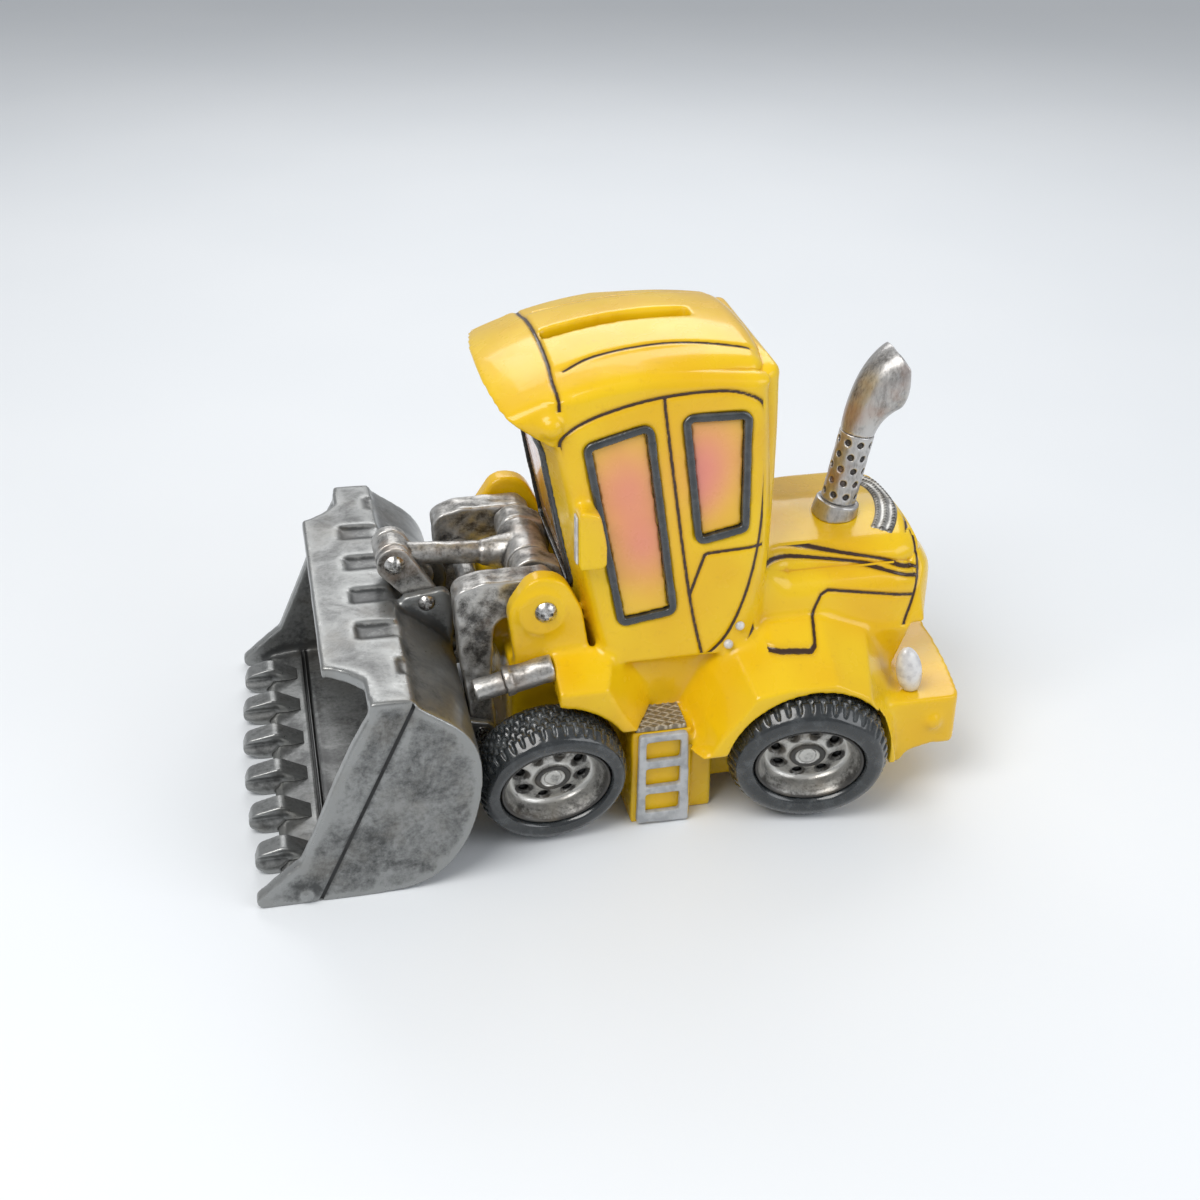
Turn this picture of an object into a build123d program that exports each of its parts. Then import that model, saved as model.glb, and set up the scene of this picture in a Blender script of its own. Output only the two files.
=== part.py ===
from build123d import *
import os
from math import atan2, cos, degrees, hypot, pi, radians, sin, sqrt

# Toy front loader, a cast money bank with a working loader bucket.
# Millimetres. +X is forward (towards the bucket), +Y is left, +Z is up.
# The origin is on the floor, under the middle of the whole object.

# ---------------------------------------------------------------- driving dimensions
FRONT_X = 82.0               # foremost bucket tooth
REAR_X = -82.0               # middle of the rear bumper
BUCKET_HALF = 50.0           # bucket is 100 wide
ROOF_TOP = 106.3             # highest point of the cab roof

CHASSIS_HALF = 27.0          # half width of the chassis tub
DECK_Z = 38.0                # top of the chassis tub, where cab and hood stand
TUB_BOTTOM = 3.0             # underside of the tub, between the base pads
CHAMBER_HALF = 22.0          # half width of the coin chamber inside the tub
CHAMBER_FLOOR = 6.0
CHAMBER_X = (-56.0, 17.0)
WALL = 3.0                   # thickness of the cast shells

STOPPER_X = -12.5            # centre of the stopper hole in the base
STOPPER_R = 10.5
STOPPER_RIM_R = 12.5
STOPPER_RIM_DEPTH = 2.3

# The cast wheels are ovals: half width, half height, and the same for the rim inside.
FRONT_WHEEL = dict(x=14.9, face_y=42.0, width=13.0, toe=4.0, camber=7.0, tyre=(16.7, 15.7), rim=(12.4, 10.2))
REAR_WHEEL = dict(x=-40.8, face_y=46.0, width=14.0, toe=-9.5, camber=7.0, tyre=(17.9, 16.3), rim=(12.3, 10.0))
STUB_R = 5.0
LUGS = 22                    # tread blocks round each tyre

ROOF_SPLIT = 99.0            # the cab walls end here and the roof begins
CAB_SECTIONS = (             # height, half width, rear, pillar and windscreen positions
    (DECK_Z, 30.2, -33.5, 1.4, 4.6),
    (85.0, 27.3, -36.9, 10.6, 14.0),
    (ROOF_SPLIT, 26.4, -36.7, 13.2, 16.6),
)
ROOF_RING_R = 97.0           # the roof top is a ring about a crosswise axis
ROOF_RING_X = -15.0
ROOF_HALF = 26.4
ROOF_EDGE_Z = 102.9          # height of the roof's edge at the ring's middle
COIN_SLOT = dict(x_low=-22.3, x_high=9.7, half=2.4)

PIVOT = (14.5, 51.8)         # lift arm pivot, X and Z
BUCKET_PIN = (28.3, 19.5)    # bucket pivot at the foot of the arms
LEVER_PIN = (37.8, 45.8)     # lever pivot on the bucket's ears
ROD_PIN = (44.1, 54.4)       # tilt rod pin at the top of the levers
ARM_Y = (14.6, 21.4)
SHAFT_R = 2.0
PIN_R = 1.6
LEVER_PIN_R = 1.3
RUNNING = 0.05               # radial clearance of a running fit
ROD_EYE_R = 2.35             # the open pivot of the tilt linkage, with play round its pin

BRACKET_Y = (22.6, 27.4)
LEVER_Y = (3.4, 5.8)
LEVER_EAR_Y = (6.2, 8.8)

BUCKET_SIDE = 3.0            # thickness of the side plates
BUCKET_WALL = 3.0
GUARD_HALF = 33.5            # half width of the spill guard
GUARD_FRONT = 62.6
LIP_BACK = 64.8              # cutting edge plate starts here
LIP_FRONT = 75.0
LIP_TOP = 3.4
TOOTH_PITCH = 14.5
TOOTH_COUNT = 6


# ---------------------------------------------------------------- helpers
def outline(corners):
    """A closed flat outline from (u, v, corner radius) points."""
    face = make_face(Polyline(*[(u, v) for u, v, r in corners], close=True))
    for u, v, r in corners:
        if r > 0:
            corner = face.vertices().sort_by_distance((u, v, 0))[0]
            face = fillet(corner, r)
    return face


def side_slab(sketch, y_low, y_high):
    """Extrudes a sketch drawn in X and Z from y_low to y_high."""
    return extrude(Plane.XZ.offset(-y_low) * sketch, amount=-(y_high - y_low))


def cross_slab(sketch, x_low, x_high):
    """Extrudes a sketch drawn in Y and Z from x_low to x_high."""
    return extrude(Plane.YZ.offset(x_low) * sketch, amount=x_high - x_low)


def plan_slab(sketch, z_low, z_high):
    """Extrudes a sketch drawn in X and Y from z_low to z_high."""
    return extrude(Plane.XY.offset(z_low) * sketch, amount=z_high - z_low)


def block(x, y, z):
    """A box between two corners, each axis given as (low, high)."""
    middle = ((x[0] + x[1]) / 2, (y[0] + y[1]) / 2, (z[0] + z[1]) / 2)
    return Pos(*middle) * Box(x[1] - x[0], y[1] - y[0], z[1] - z[0])


def rod_y(centre, radius, y_low, y_high):
    """A cylinder along Y, centred on (X, Z)."""
    return side_slab(Pos(centre[0], centre[1]) * Circle(radius), y_low, y_high)


def other_side(shape):
    return mirror(shape, about=Plane.XZ)


def both_sides(shape):
    return shape + other_side(shape)


def link(centre_a, radius_a, centre_b, radius_b):
    """The flat outline of a strap with a round lobe at each end."""
    ax, az = centre_a
    bx, bz = centre_b
    angle = degrees(atan2(bz - az, bx - ax))
    length = hypot(bx - ax, bz - az)
    web = make_face(Polyline((0, -radius_a), (length, -radius_b), (length, radius_b),
                             (0, radius_a), close=True))
    strap = Circle(radius_a) + web + Pos(length, 0) * Circle(radius_b)
    return Pos(ax, az) * Rot(0, 0, angle) * strap


def cross_recess(size, depth):
    """The cross slot of a Phillips head, cut downwards from z = 0."""
    slot = Box(size, size * 0.3, depth * 2)
    return slot + Rot(0, 0, 90) * slot


def screw_head(centre, radius, height, y_face):
    """A domed cross-slot head standing on the plane y = y_face, towards +Y."""
    dome_r = (radius ** 2 + height ** 2) / (2 * height)
    dome = Pos(0, 0, height - dome_r) * Sphere(dome_r)
    head = (Pos(0, 0, height / 2) * Cylinder(radius, height)) & dome
    head -= Pos(0, 0, height) * cross_recess(radius * 1.15, height * 0.65)
    return Pos(centre[0], y_face, centre[1]) * Rot(-90, 0, 0) * head


def stud(centre, radius, height, foot):
    """A low dome on the plane y = centre y, facing +Y, with a short foot behind it."""
    dome_r = (radius ** 2 + height ** 2) / (2 * height)
    half_angle = atan2(radius, dome_r - height) / 2
    middle = (dome_r * sin(half_angle), height - dome_r + dome_r * cos(half_angle))
    half = make_face(ThreePointArc((0, height), middle, (radius, 0))
                     + Polyline((radius, 0), (radius, -foot), (0, -foot), (0, height)))
    return Pos(*centre) * revolve(half, Axis.Y)


# ---------------------------------------------------------------- chassis
def chassis_part():
    tub_side = outline([(22, TUB_BOTTOM, 2), (22, DECK_Z, 1), (-69.5, DECK_Z, 0),
                        (-64.5, 24.5, 0), (-60, TUB_BOTTOM, 2)])
    tub = side_slab(tub_side, -CHASSIS_HALF, CHASSIS_HALF)
    nose_side = outline([(1, 30, 0), (21.5, 30, 0), (24.8, 40, 1.5), (23.2, 46.3, 3), (1, 47.5, 0)])
    nose = side_slab(nose_side, -13.4, 13.4) - rod_y(PIVOT, 5.8, -7.4, 7.4)
    feet = both_sides(block((5.5, 21.2), BRACKET_Y, (DECK_Z - 1, 41.0)))
    long_pad = block((-32, 7), (-20, 20), (0, TUB_BOTTOM))
    wide_pad = block((-22, -2.6), (-34, 34), (0, 20))
    sill = block((-16.2, -2.6), (-37, 37), (0, 24.2))
    body = tub + nose + feet + long_pad + wide_pad + sill
    chamber = block(CHAMBER_X, (-CHAMBER_HALF, CHAMBER_HALF), (CHAMBER_FLOOR, DECK_Z))
    body -= fillet(chamber.edges().filter_by(Axis.Z), 4)
    body -= block((-10, 1.5), (-10, 10), (DECK_Z - 2, 50))
    body -= Pos(STOPPER_X, 0, 0) * Cylinder(STOPPER_R, 4 * CHAMBER_FLOOR)
    body -= Pos(STOPPER_X, 0, 0) * Cylinder(STOPPER_RIM_R, 2 * STOPPER_RIM_DEPTH)
    return body


def stopper_part():
    rim = Pos(STOPPER_X, 0, 0.4) * extrude(Circle(STOPPER_RIM_R - 0.4), amount=1.6)
    plug = Pos(STOPPER_X, 0, 2.0) * extrude(Circle(STOPPER_R - 0.1), amount=4.4)
    lip = Pos(STOPPER_X, 0, 6.4) * extrude(Circle(STOPPER_R - 0.4), amount=1.6, taper=20)
    grip = block((STOPPER_X - 5, STOPPER_X + 5), (-1.2, 1.2), (0.4, 1.2))
    return rim + plug + lip - grip


# ---------------------------------------------------------------- cab
def cab_section(z, half, rear, pillar, front, inset):
    """One level outline of the cab, pulled in by inset on every side."""
    half -= inset
    rear += inset
    pillar -= inset
    front -= inset
    corner = 7.0 - inset
    face = outline([(rear, -half, corner), (pillar, -half, 2.6), (front, -half * 0.55, 9),
                    (front, half * 0.55, 9), (pillar, half, 2.6), (rear, half, corner)])
    return Plane.XY.offset(z) * face


def cab_block(inset):
    return loft([cab_section(*section, inset) for section in CAB_SECTIONS])


def cab_inlay(prism, outer_inset, inner_inset):
    """The layer of cab wall inside a prism, between two insets from the outside."""
    return (prism & cab_block(outer_inset)) - cab_block(inner_inset)


def front_side_window(inset):
    corners = [(6.5, 89.3), (-8.3, 93.1), (-14.0, 49.1), (-0.9, 47.2)]
    return window_outline(corners, inset)


def rear_side_window(inset):
    corners = [(-14.3, 94.1), (-29.3, 93.9), (-29.4, 66.9), (-17.7, 64.6)]
    return window_outline(corners, inset)


def window_outline(corners, inset):
    face = outline([(u, v, 2.2) for u, v in corners])
    if inset > 0:
        face = offset(face, amount=-inset)
    return face


def windscreen_outline(inset):
    face = outline([(-19.0, 51.0, 3), (19.0, 51.0, 3), (18.4, 87.3, 3), (-18.4, 87.3, 3)])
    if inset > 0:
        face = offset(face, amount=-inset)
    return face


def rear_window_outline(inset):
    face = outline([(-17, 68.0, 3), (17, 68.0, 3), (16.4, 92.0, 3), (-16.4, 92.0, 3)])
    if inset > 0:
        face = offset(face, amount=-inset)
    return face


GASKET = 1.7                 # width of the rubber round each window
POCKET_DEPTH = 1.4           # how deep each window sits in the wall
PANE_INSET = 0.6             # how far the pane lies below the wall
GASKET_PROUD = 0.5           # how far the rubber stands out of the wall


def side_prism(sketch):
    return side_slab(sketch, -40, 40)


def front_prism(sketch):
    return cross_slab(sketch, -2, 30)


def rear_prism(sketch):
    return cross_slab(sketch, -50, -25)


WINDOWS = {                  # outline and prism of each group of windows
    "side": [(front_side_window, side_prism), (rear_side_window, side_prism)],
    "windscreen": [(windscreen_outline, front_prism)],
    "rear": [(rear_window_outline, rear_prism)],
}


def window_pane(group):
    panes = [cab_inlay(prism(shape(GASKET)), PANE_INSET, POCKET_DEPTH)
             for shape, prism in WINDOWS[group]]
    return Compound(children=[solid for pane in panes for solid in pane.solids()])


def window_gasket(group):
    rings = [cab_inlay(prism(shape(0)) - prism(shape(GASKET)), -GASKET_PROUD, POCKET_DEPTH)
             for shape, prism in WINDOWS[group]]
    return Compound(children=[solid for ring in rings for solid in ring.solids()])


def cab_shell_part(chassis, roof):
    shell = cab_block(0) - cab_block(WALL)
    for group in WINDOWS.values():
        for shape, prism in group:
            shell -= cab_inlay(prism(shape(0)), -2 * GASKET_PROUD, POCKET_DEPTH)
    shell = shell - chassis - roof
    return shell.solids().sort_by(SortBy.VOLUME)[-1]


def roof_ring():
    """The cab's cross section, bent round a crosswise axis below the cab."""
    crown = ThreePointArc((ROOF_HALF, ROOF_EDGE_Z), (0, ROOF_TOP), (-ROOF_HALF, ROOF_EDGE_Z))
    rim = Polyline((-ROOF_HALF, ROOF_EDGE_Z), (-ROOF_HALF - 0.9, 80), (ROOF_HALF + 0.9, 80),
                   (ROOF_HALF, ROOF_EDGE_Z))
    face = make_face(crown + rim)
    for side in (-1, 1):
        corner = face.vertices().sort_by_distance((side * ROOF_HALF, ROOF_EDGE_Z, 0))[0]
        face = fillet(corner, 3.2)
    face = Plane.YZ.offset(ROOF_RING_X) * face
    axis = Axis((ROOF_RING_X, 0, ROOF_TOP - ROOF_RING_R), (0, 1, 0))
    return revolve(face.rotate(axis, -32), axis, revolution_arc=64)


def roof_part():
    side = outline([(-36.9, ROOF_SPLIT, 0), (-36.9, 105.6, 9), (0, 120, 0), (24.8, 120, 0), (24.8, 97.8, 2.2),
                    (15.6, 91.0, 4), (12.2, 88.9, 0), (12.2, ROOF_SPLIT, 0)])
    plan = outline([(-36.9, -28, 8.5), (24.8, -28, 4), (24.8, 28, 4), (-36.9, 28, 8.5)])
    roof = roof_ring() & side_slab(side, -30, 30) & plan_slab(plan, 80, 120)
    slot = block((COIN_SLOT["x_low"], COIN_SLOT["x_high"]),
                 (-COIN_SLOT["half"], COIN_SLOT["half"]), (95, 110))
    return roof - slot


# ---------------------------------------------------------------- hood and bumper
def hood_block(inset):
    """The engine hood's outer form, pulled in by inset."""
    side = outline([(-30, 30, 0), (-30, 57.6, 0), (-52, 59.0, 20), (-70.5, 58.4, 10),
                    (-79.8, 52.6, 6.5), (-70, 30, 0)])
    front = outline([(-27.4, 30, 0), (-24.4, 55.0, 6), (0, 58.9, 30), (24.4, 55.0, 6), (27.4, 30, 0)])
    face = make_face(ThreePointArc((-73.5, -25), (-79, 0), (-73.5, 25))
                     + Polyline((-73.5, 25), (-72, 30), (-30, 30), (-30, -30), (-72, -30), (-73.5, -25)))
    side = offset(side, amount=-inset) if inset > 0 else side
    front = offset(front, amount=-inset) if inset > 0 else front
    face = offset(face, amount=-inset) if inset > 0 else face
    return side_slab(side, -30, 30) & cross_slab(front, -82, -30) & plan_slab(face, 30, 62)


def hood_part(cab_outer):
    shell = hood_block(0) - block((-90, 0), (-40, 40), (0, DECK_Z)) - cab_outer
    hollow = hood_block(WALL) & block((-72, -30), (-CHAMBER_HALF, CHAMBER_HALF), (DECK_Z, 60))
    return shell - hollow


def bumper_part(chassis, hood):
    side = outline([(-60.5, 25.3, 0), (-60.5, 11.5, 0), (-64.5, 7.8, 2), (-66.6, 11.6, 3),
                    (-72, 12.9, 3), (-84, 12.7, 0), (-84, 25.3, 0)])
    plan = make_face(ThreePointArc((-77.8, -38.6), (REAR_X, 0), (-77.8, 38.6))
                     + Polyline((-77.8, 38.6), (-60.5, 38.6), (-60.5, -38.6), (-77.8, -38.6)))
    for side_sign in (-1, 1):
        corner = plan.vertices().sort_by_distance((-77.8, side_sign * 38.6, 0))[0]
        plan = fillet(corner, 2.5)
    bar = side_slab(side, -40, 40) & plan_slab(plan, 0, 30)
    return bar - chassis - hood


# ---------------------------------------------------------------- fenders
def wheel_arch(wheel, gap):
    """The hollow that a fender leaves round its wheel, with the wheel's own toe and camber."""
    half_x, half_z = wheel["tyre"]
    return wheel_place(wheel) * oval((half_x + gap, half_z + gap), -40, 40)


def flared(outer, inner, y_outer, y_inner):
    """A solid that spreads from an outer lip outline to a larger one on the body's side."""
    faces = [Plane.XZ.offset(-y) * make_face(Polyline(*points, close=True))
             for y, points in ((y_inner, inner), (y_outer, outer))]
    return loft(faces, ruled=True)


def front_fender_part(cab_outer, chassis):
    lip = ((13.4, 36.9), (3.0, 36.9), (-0.9, 29.2), (-3.6, 25.3), (13.4, 25.3))
    root = ((13.4, 42.0), (-0.5, 42.0), (-6.0, 33.0), (-9.5, 25.3), (13.4, 25.3))
    fender = flared(lip, root, 38.0, CHASSIS_HALF)
    fender -= wheel_arch(FRONT_WHEEL, 1.6)
    fender -= block((5.0, 22), (20, BRACKET_Y[1] + 0.01), (41.0, 60))
    fender -= block((-16, -3.4), (20, 36.8), (20, 25.3))
    return (fender - cab_outer - chassis).solids().sort_by(SortBy.VOLUME)[-1]


def rear_fender_part(cab_outer, hood, bumper, chassis):
    lip = ((-14.6, 19.8), (-18.8, 20.6), (-21.0, 24.6), (-25.8, 30.2), (-28.6, 34.2), (-35.6, 35.4),
           (-46.6, 35.2), (-54.6, 30.8), (-60.2, 20.0), (-62.0, 12.6))
    root = ((-11.0, 19.8), (-14.5, 22.4), (-17.0, 28.0), (-20.5, 35.0), (-26.0, 40.4), (-35.6, 43.0),
            (-47.5, 42.8), (-58.5, 38.6), (-66.0, 27.0), (-66.5, 12.6))
    fender = flared(lip, root, 43.8, CHASSIS_HALF)
    fender -= wheel_arch(REAR_WHEEL, 0.9)
    fender -= block((-40, 0), (20, 60), (0, 19.8)) + block((-15.8, 0), (36.8, 38.8), (19, 24.4))
    fender = fender - cab_outer - hood - bumper - chassis
    return fender.solids().sort_by(SortBy.VOLUME)[-1]


# ---------------------------------------------------------------- ladders and treads
def ladder_part():
    frame = outline([(-15.6, 0.4, 0.6), (-3.7, 0.8, 0.6), (-4.0, 24.0, 0.8), (-14.9, 24.0, 0.8)])
    for rung in range(3):
        frame -= Pos(-9.5, 5.9 + rung * 6.95) * RectangleRounded(7.8, 5.0, 0.5)
    return side_slab(frame, 37.0, 38.6)


def step_tread_part():
    plate = block((-14.9, -3.4), (28.0, 36.8), (24.2, 25.2))
    ribs = plate
    for step in range(1, 6):
        groove_x = -14.9 + step * 1.95
        ribs -= Pos(groove_x, 32.4, 25.2) * Rot(0, 0, 32) * Box(0.35, 14, 0.7)
        ribs -= Pos(groove_x, 32.4, 25.2) * Rot(0, 0, -32) * Box(0.35, 14, 0.7)
    return ribs


# ---------------------------------------------------------------- wheels
def oval(size, y_low, y_high):
    """An upright oval disc between two Y positions."""
    return side_slab(Ellipse(*size), y_low, y_high)


def tyre_shape(wheel):
    width, size = wheel["width"], wheel["tyre"]
    body = oval(size, -width, 0)
    body = fillet(body.edges().filter_by(GeomType.ELLIPSE), 2.4)
    body -= oval(wheel["rim"], -width, 0)
    for i in range(LUGS):
        for row in (0, 1):
            turn = 2 * pi * (i + 0.5 * row) / LUGS
            place = Pos(size[0] * cos(turn), -width * (0.25 + 0.5 * row), size[1] * sin(turn))
            body -= place * Rot(0, -degrees(turn), 0) * Box(1.8, width * 0.46, 1.2)
    return body


def rim_shape(wheel):
    width, (half_x, half_z) = wheel["width"], wheel["rim"]
    rim = oval((half_x, half_z), -width, -0.6)
    rim -= oval((half_x - 0.9, half_z - 0.9), -3.2, 0) + oval((half_x - 2.2, half_z - 2.2), -5.6, 0)
    for i in range(8):
        turn = 2 * pi * i / 8
        rim -= Pos(half_x * 0.6 * cos(turn), -5.8, half_z * 0.6 * sin(turn)) * Rot(90, 0, 0) * Cylinder(1.15, 3)
    return rim + Pos(0, -width - 2, 0) * Rot(90, 0, 0) * Cylinder(STUB_R, 10)


def hub_cap_shape():
    disc = Pos(0, -5.1, 0) * Rot(90, 0, 0) * Cylinder(3.0, 1.0)
    boss = Pos(0, -4.2, 0) * Rot(90, 0, 0) * Cylinder(2.0, 0.8)
    return disc + boss


def wheel_place(wheel):
    """Where a left wheel's outer face centre goes, with toe and camber."""
    turn = Rot(0, 0, wheel["toe"]) * Rot(-wheel["camber"], 0, 0)
    half_x, half_z = wheel["tyre"]
    tread = oval((half_x, half_z), -wheel["width"] + 1.2, -1.2)
    return Pos(wheel["x"], wheel["face_y"], -(turn * tread).bounding_box().min.Z) * turn


def wheel_parts(wheel):
    place = wheel_place(wheel)
    tyre = place * tyre_shape(wheel)
    rim = place * rim_shape(wheel) - block((-80, 40), (-CHASSIS_HALF, CHASSIS_HALF), (0, 40))
    cap = place * hub_cap_shape()
    return tyre, rim, cap


# ---------------------------------------------------------------- loader pivot and arms
def bracket_part():
    plate = outline([(4.9, 41.0, 0.8), (21.4, 41.0, 0.8), (22.6, 52.0, 6.5), (17.5, 59.6, 4.5),
                     (10.5, 59.2, 6), (6.4, 51.0, 8)])
    bracket = side_slab(plate, *BRACKET_Y)
    bracket += rod_y((PIVOT[0] + 0.7, PIVOT[1] - 0.4), 5.2, BRACKET_Y[1], BRACKET_Y[1] + 0.7)
    return bracket - rod_y(PIVOT, SHAFT_R, 20, 30)


def cross_shaft_part():
    shaft = rod_y(PIVOT, SHAFT_R, -BRACKET_Y[1] - 0.7, BRACKET_Y[1] + 0.7)
    return shaft - both_sides(rod_y(PIVOT, 1.1, 24, 30))


def bracket_screw_part():
    head = screw_head(PIVOT, 2.4, 1.3, BRACKET_Y[1] + 0.7)
    return head + rod_y(PIVOT, 1.1, 24.2, BRACKET_Y[1] + 0.7)


def tilt_yoke_part(chassis):
    """The saddle that carries the middle of the cross shaft: a bent bar on each side of the rod."""
    bar = link((14.7, 52.4), 4.6, (8.0, 50.4), 3.7) + link((8.0, 50.4), 3.7, (2.4, 41.5), 3.4)
    lug = side_slab(bar, 7.4, 13.8)
    return (lug - chassis - cab_block(-GASKET_PROUD - 0.05) - rod_y(PIVOT, SHAFT_R, 0, 30)).solids().sort_by(SortBy.VOLUME)[-1]


def arm_part():
    side = outline([(13.5, 47.3, 0), (24.5, 47.3, 3), (25.6, 33.0, 6), (25.0, 19.6, 0),
                    (30.6, 19.6, 0), (31.0, 26.0, 0), (32.3, 37.0, 6), (33.4, 54.5, 3.5), (27.0, 56.4, 3), (13.5, 56.3, 0)])
    side += Pos(*PIVOT) * Circle(4.6)
    side += Pos(*BUCKET_PIN) * Circle(3.4)
    arm = side_slab(side, *ARM_Y)
    arm -= rod_y(PIVOT, SHAFT_R + RUNNING, 10, 30)
    return arm - rod_y(BUCKET_PIN, PIN_R, 10, 30)


def arm_tube_part():
    return rod_y((27.5, 46.6), 2.4, -ARM_Y[0], ARM_Y[0])


def bucket_pin_part():
    return rod_y(BUCKET_PIN, PIN_R, 11.6, 24.6)


def lift_cylinder(part):
    """The barrel or the rod of the lift cylinder beside each arm."""
    start = Vector(13.4, 30.0, 39.2)
    finish = Vector(30.6, 30.0, 35.3)
    along = Plane(origin=start, z_dir=finish - start)
    length = (finish - start).length
    if part == "barrel":
        body = extrude(Circle(3.0), amount=length * 0.62)
        body += Pos(0, 0, length * 0.62 - 1.6) * extrude(Circle(3.3), amount=1.6)
        return along * body - block((0, 13.4), (20, 40), (20, 60))
    return along * Pos(0, 0, length * 0.62) * extrude(Circle(2.5), amount=length * 0.38)


# ---------------------------------------------------------------- tilt rod and levers
def tilt_rod_part():
    eye = rod_y(PIVOT, 5.2, -6.9, 6.9)
    angle = degrees(atan2(ROD_PIN[1] - PIVOT[1], ROD_PIN[0] - PIVOT[0]))
    length = hypot(ROD_PIN[1] - PIVOT[1], ROD_PIN[0] - PIVOT[0])
    along = Pos(PIVOT[0], 0, PIVOT[1]) * Rot(0, -angle, 0) * Rot(0, 90, 0)
    nozzle = along * Pos(0, 0, 6.6) * Cone(4.4, 2.9, 6.8)
    shank = along * Pos(0, 0, length / 2) * Cylinder(2.6, length - 7)
    front = rod_y(ROD_PIN, 3.9, -3.0, 3.0)
    body = eye + nozzle + shank + front
    return body - rod_y(PIVOT, SHAFT_R + RUNNING, -10, 10) - rod_y(ROD_PIN, ROD_EYE_R, -10, 10)


def lever_part():
    plate = side_slab(link(LEVER_PIN, 3.1, ROD_PIN, 4.0), *LEVER_Y)
    return plate - rod_y(LEVER_PIN, LEVER_PIN_R + RUNNING, 0, 10) - rod_y(ROD_PIN, LEVER_PIN_R, 0, 10)


def rod_screw_part():
    shank = rod_y(ROD_PIN, LEVER_PIN_R, -LEVER_Y[1], LEVER_Y[1])
    return shank + both_sides(screw_head(ROD_PIN, 2.3, 1.3, LEVER_Y[1]))


# ---------------------------------------------------------------- bucket
BUCKET_BACK = ((54.0, 0.0), (38.0, 7.6), (32.2, 23.9), (35.6, 38.6), (44.8, 46.4), (54.0, 47.9))
BUCKET_INSIDE = ((54.0, 3.0), (40.2, 9.8), (35.2, 23.9), (38.3, 36.7), (46.0, 43.4), (54.0, 44.9))


def bucket_curve(points):
    """The curved back of the bucket, from the floor round to the spill guard."""
    return Spline(*points, tangents=((-1, 0), (1, 0)))


def bucket_outer_profile():
    front = Polyline(BUCKET_BACK[-1], (GUARD_FRONT, 47.5), (GUARD_FRONT, 3.0), (LIP_BACK, 3.0),
                     (LIP_BACK, 0.0), BUCKET_BACK[0])
    return make_face(bucket_curve(BUCKET_BACK) + front)


def bucket_shell_part():
    half = BUCKET_HALF - BUCKET_SIDE
    mouth = Polyline(BUCKET_INSIDE[-1], (70, 44.5), (70, 3.0), BUCKET_INSIDE[0])
    hollow = make_face(bucket_curve(BUCKET_INSIDE) + mouth)
    shell = side_slab(bucket_outer_profile(), -half, half) - side_slab(hollow, -half, half)
    trim = outline([(54.4, 60, 0), (54.4, 40.5, 3), (57.6, 36.6, 3), (61.0, GUARD_HALF + 0.6, 0),
                    (70, GUARD_HALF, 0), (70, 60, 0)])
    shell -= both_sides(plan_slab(trim, 30, 60))
    for k in range(6):
        low = -43.2 + 15.2 * k
        front_x = 47.2 if k in (0, 5) else 54.4
        shell -= block((30, front_x), (low, low + 6.4), (46.9, 60)) + pocket(low, low + 6.4)
    return shell


def pocket(y_low, y_high):
    """A shallow recess following the upper back of the bucket."""
    ring = outline([(33.4, 37.9, 0), (38.0, 43.0, 0), (45.5, 46.9, 0), (45.5, 60, 0), (30, 60, 0),
                    (30, 37.9, 0)])
    return side_slab(ring, y_low, y_high)


def side_plate_part():
    back = bucket_curve(BUCKET_BACK)
    front = Polyline((54.0, 47.9), (54.4, 44.6), (58.2, 37.7), (62.6, 28.4), (66.0, 20.4),
                     (68.8, 14.1), (70.6, 10.4), (74.2, 7.6), (80.2, 2.6), (80.5, 1.2), (79.4, 0.0),
                     (54.0, 0.0))
    plate = side_slab(make_face(back + front), BUCKET_HALF - BUCKET_SIDE, BUCKET_HALF)
    lean = degrees(atan2(22.2, 46.5))
    groove = Pos(56.2, BUCKET_HALF, 23.2) * Rot(0, -lean, 0) * Box(0.7, 0.9, 58)
    return plate - groove


def cutting_edge_part():
    half = BUCKET_HALF - BUCKET_SIDE
    side = outline([(LIP_BACK, 0, 0), (LIP_FRONT - 1, 0, 0), (LIP_FRONT, 0.9, 0), (LIP_FRONT - 2, 2.6, 0),
                    (LIP_BACK, LIP_TOP, 0)])
    return side_slab(side, -half, half)


def tooth_part(y):
    tip = FRONT_X - 1.4 * (y / 36.0) ** 2
    side = outline([(66.6, 3.0, 0), (LIP_FRONT - 2, 2.5, 0), (LIP_FRONT + 0.1, 0.9, 0),
                    (LIP_FRONT - 0.9, 0, 0), (77.8, 0.0, 1.5), (tip, 2.0, 1.4),
                    (tip - 1.2, 5.2, 2.4), (73.6, 6.8, 3)])
    return side_slab(side, y - 2.7, y + 2.7)


def pivot_ears():
    """Clevis ears on the bucket's back, inside and outside each arm."""
    x, z = BUCKET_PIN
    side = outline([(x, z - 3.4, 0), (40, z - 3.4, 0), (40, z + 7, 0), (x, z + 3.4, 0)])
    side += Pos(x, z) * Circle(3.4)
    ears = side_slab(side, 11.8, 14.1) + side_slab(side, 21.9, 24.2)
    return ears - rod_y(BUCKET_PIN, PIN_R + RUNNING, 0, 40)


def lever_ear():
    side = outline([(33.4, 26, 0), (40, 26, 0), (46, 44, 0), (42.6, 47.6, 1.5), (33.0, 48.8, 2),
                    (31.4, 44.5, 1.5)])
    ear = side_slab(side, *LEVER_EAR_Y)
    return ear - rod_y(LEVER_PIN, LEVER_PIN_R, 0, 40)


def bucket_ears_part():
    ears = both_sides(pivot_ears() + lever_ear())
    ears -= side_slab(bucket_outer_profile(), -30, 30)
    return Compound(children=[solid for solid in ears.solids()])


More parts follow.
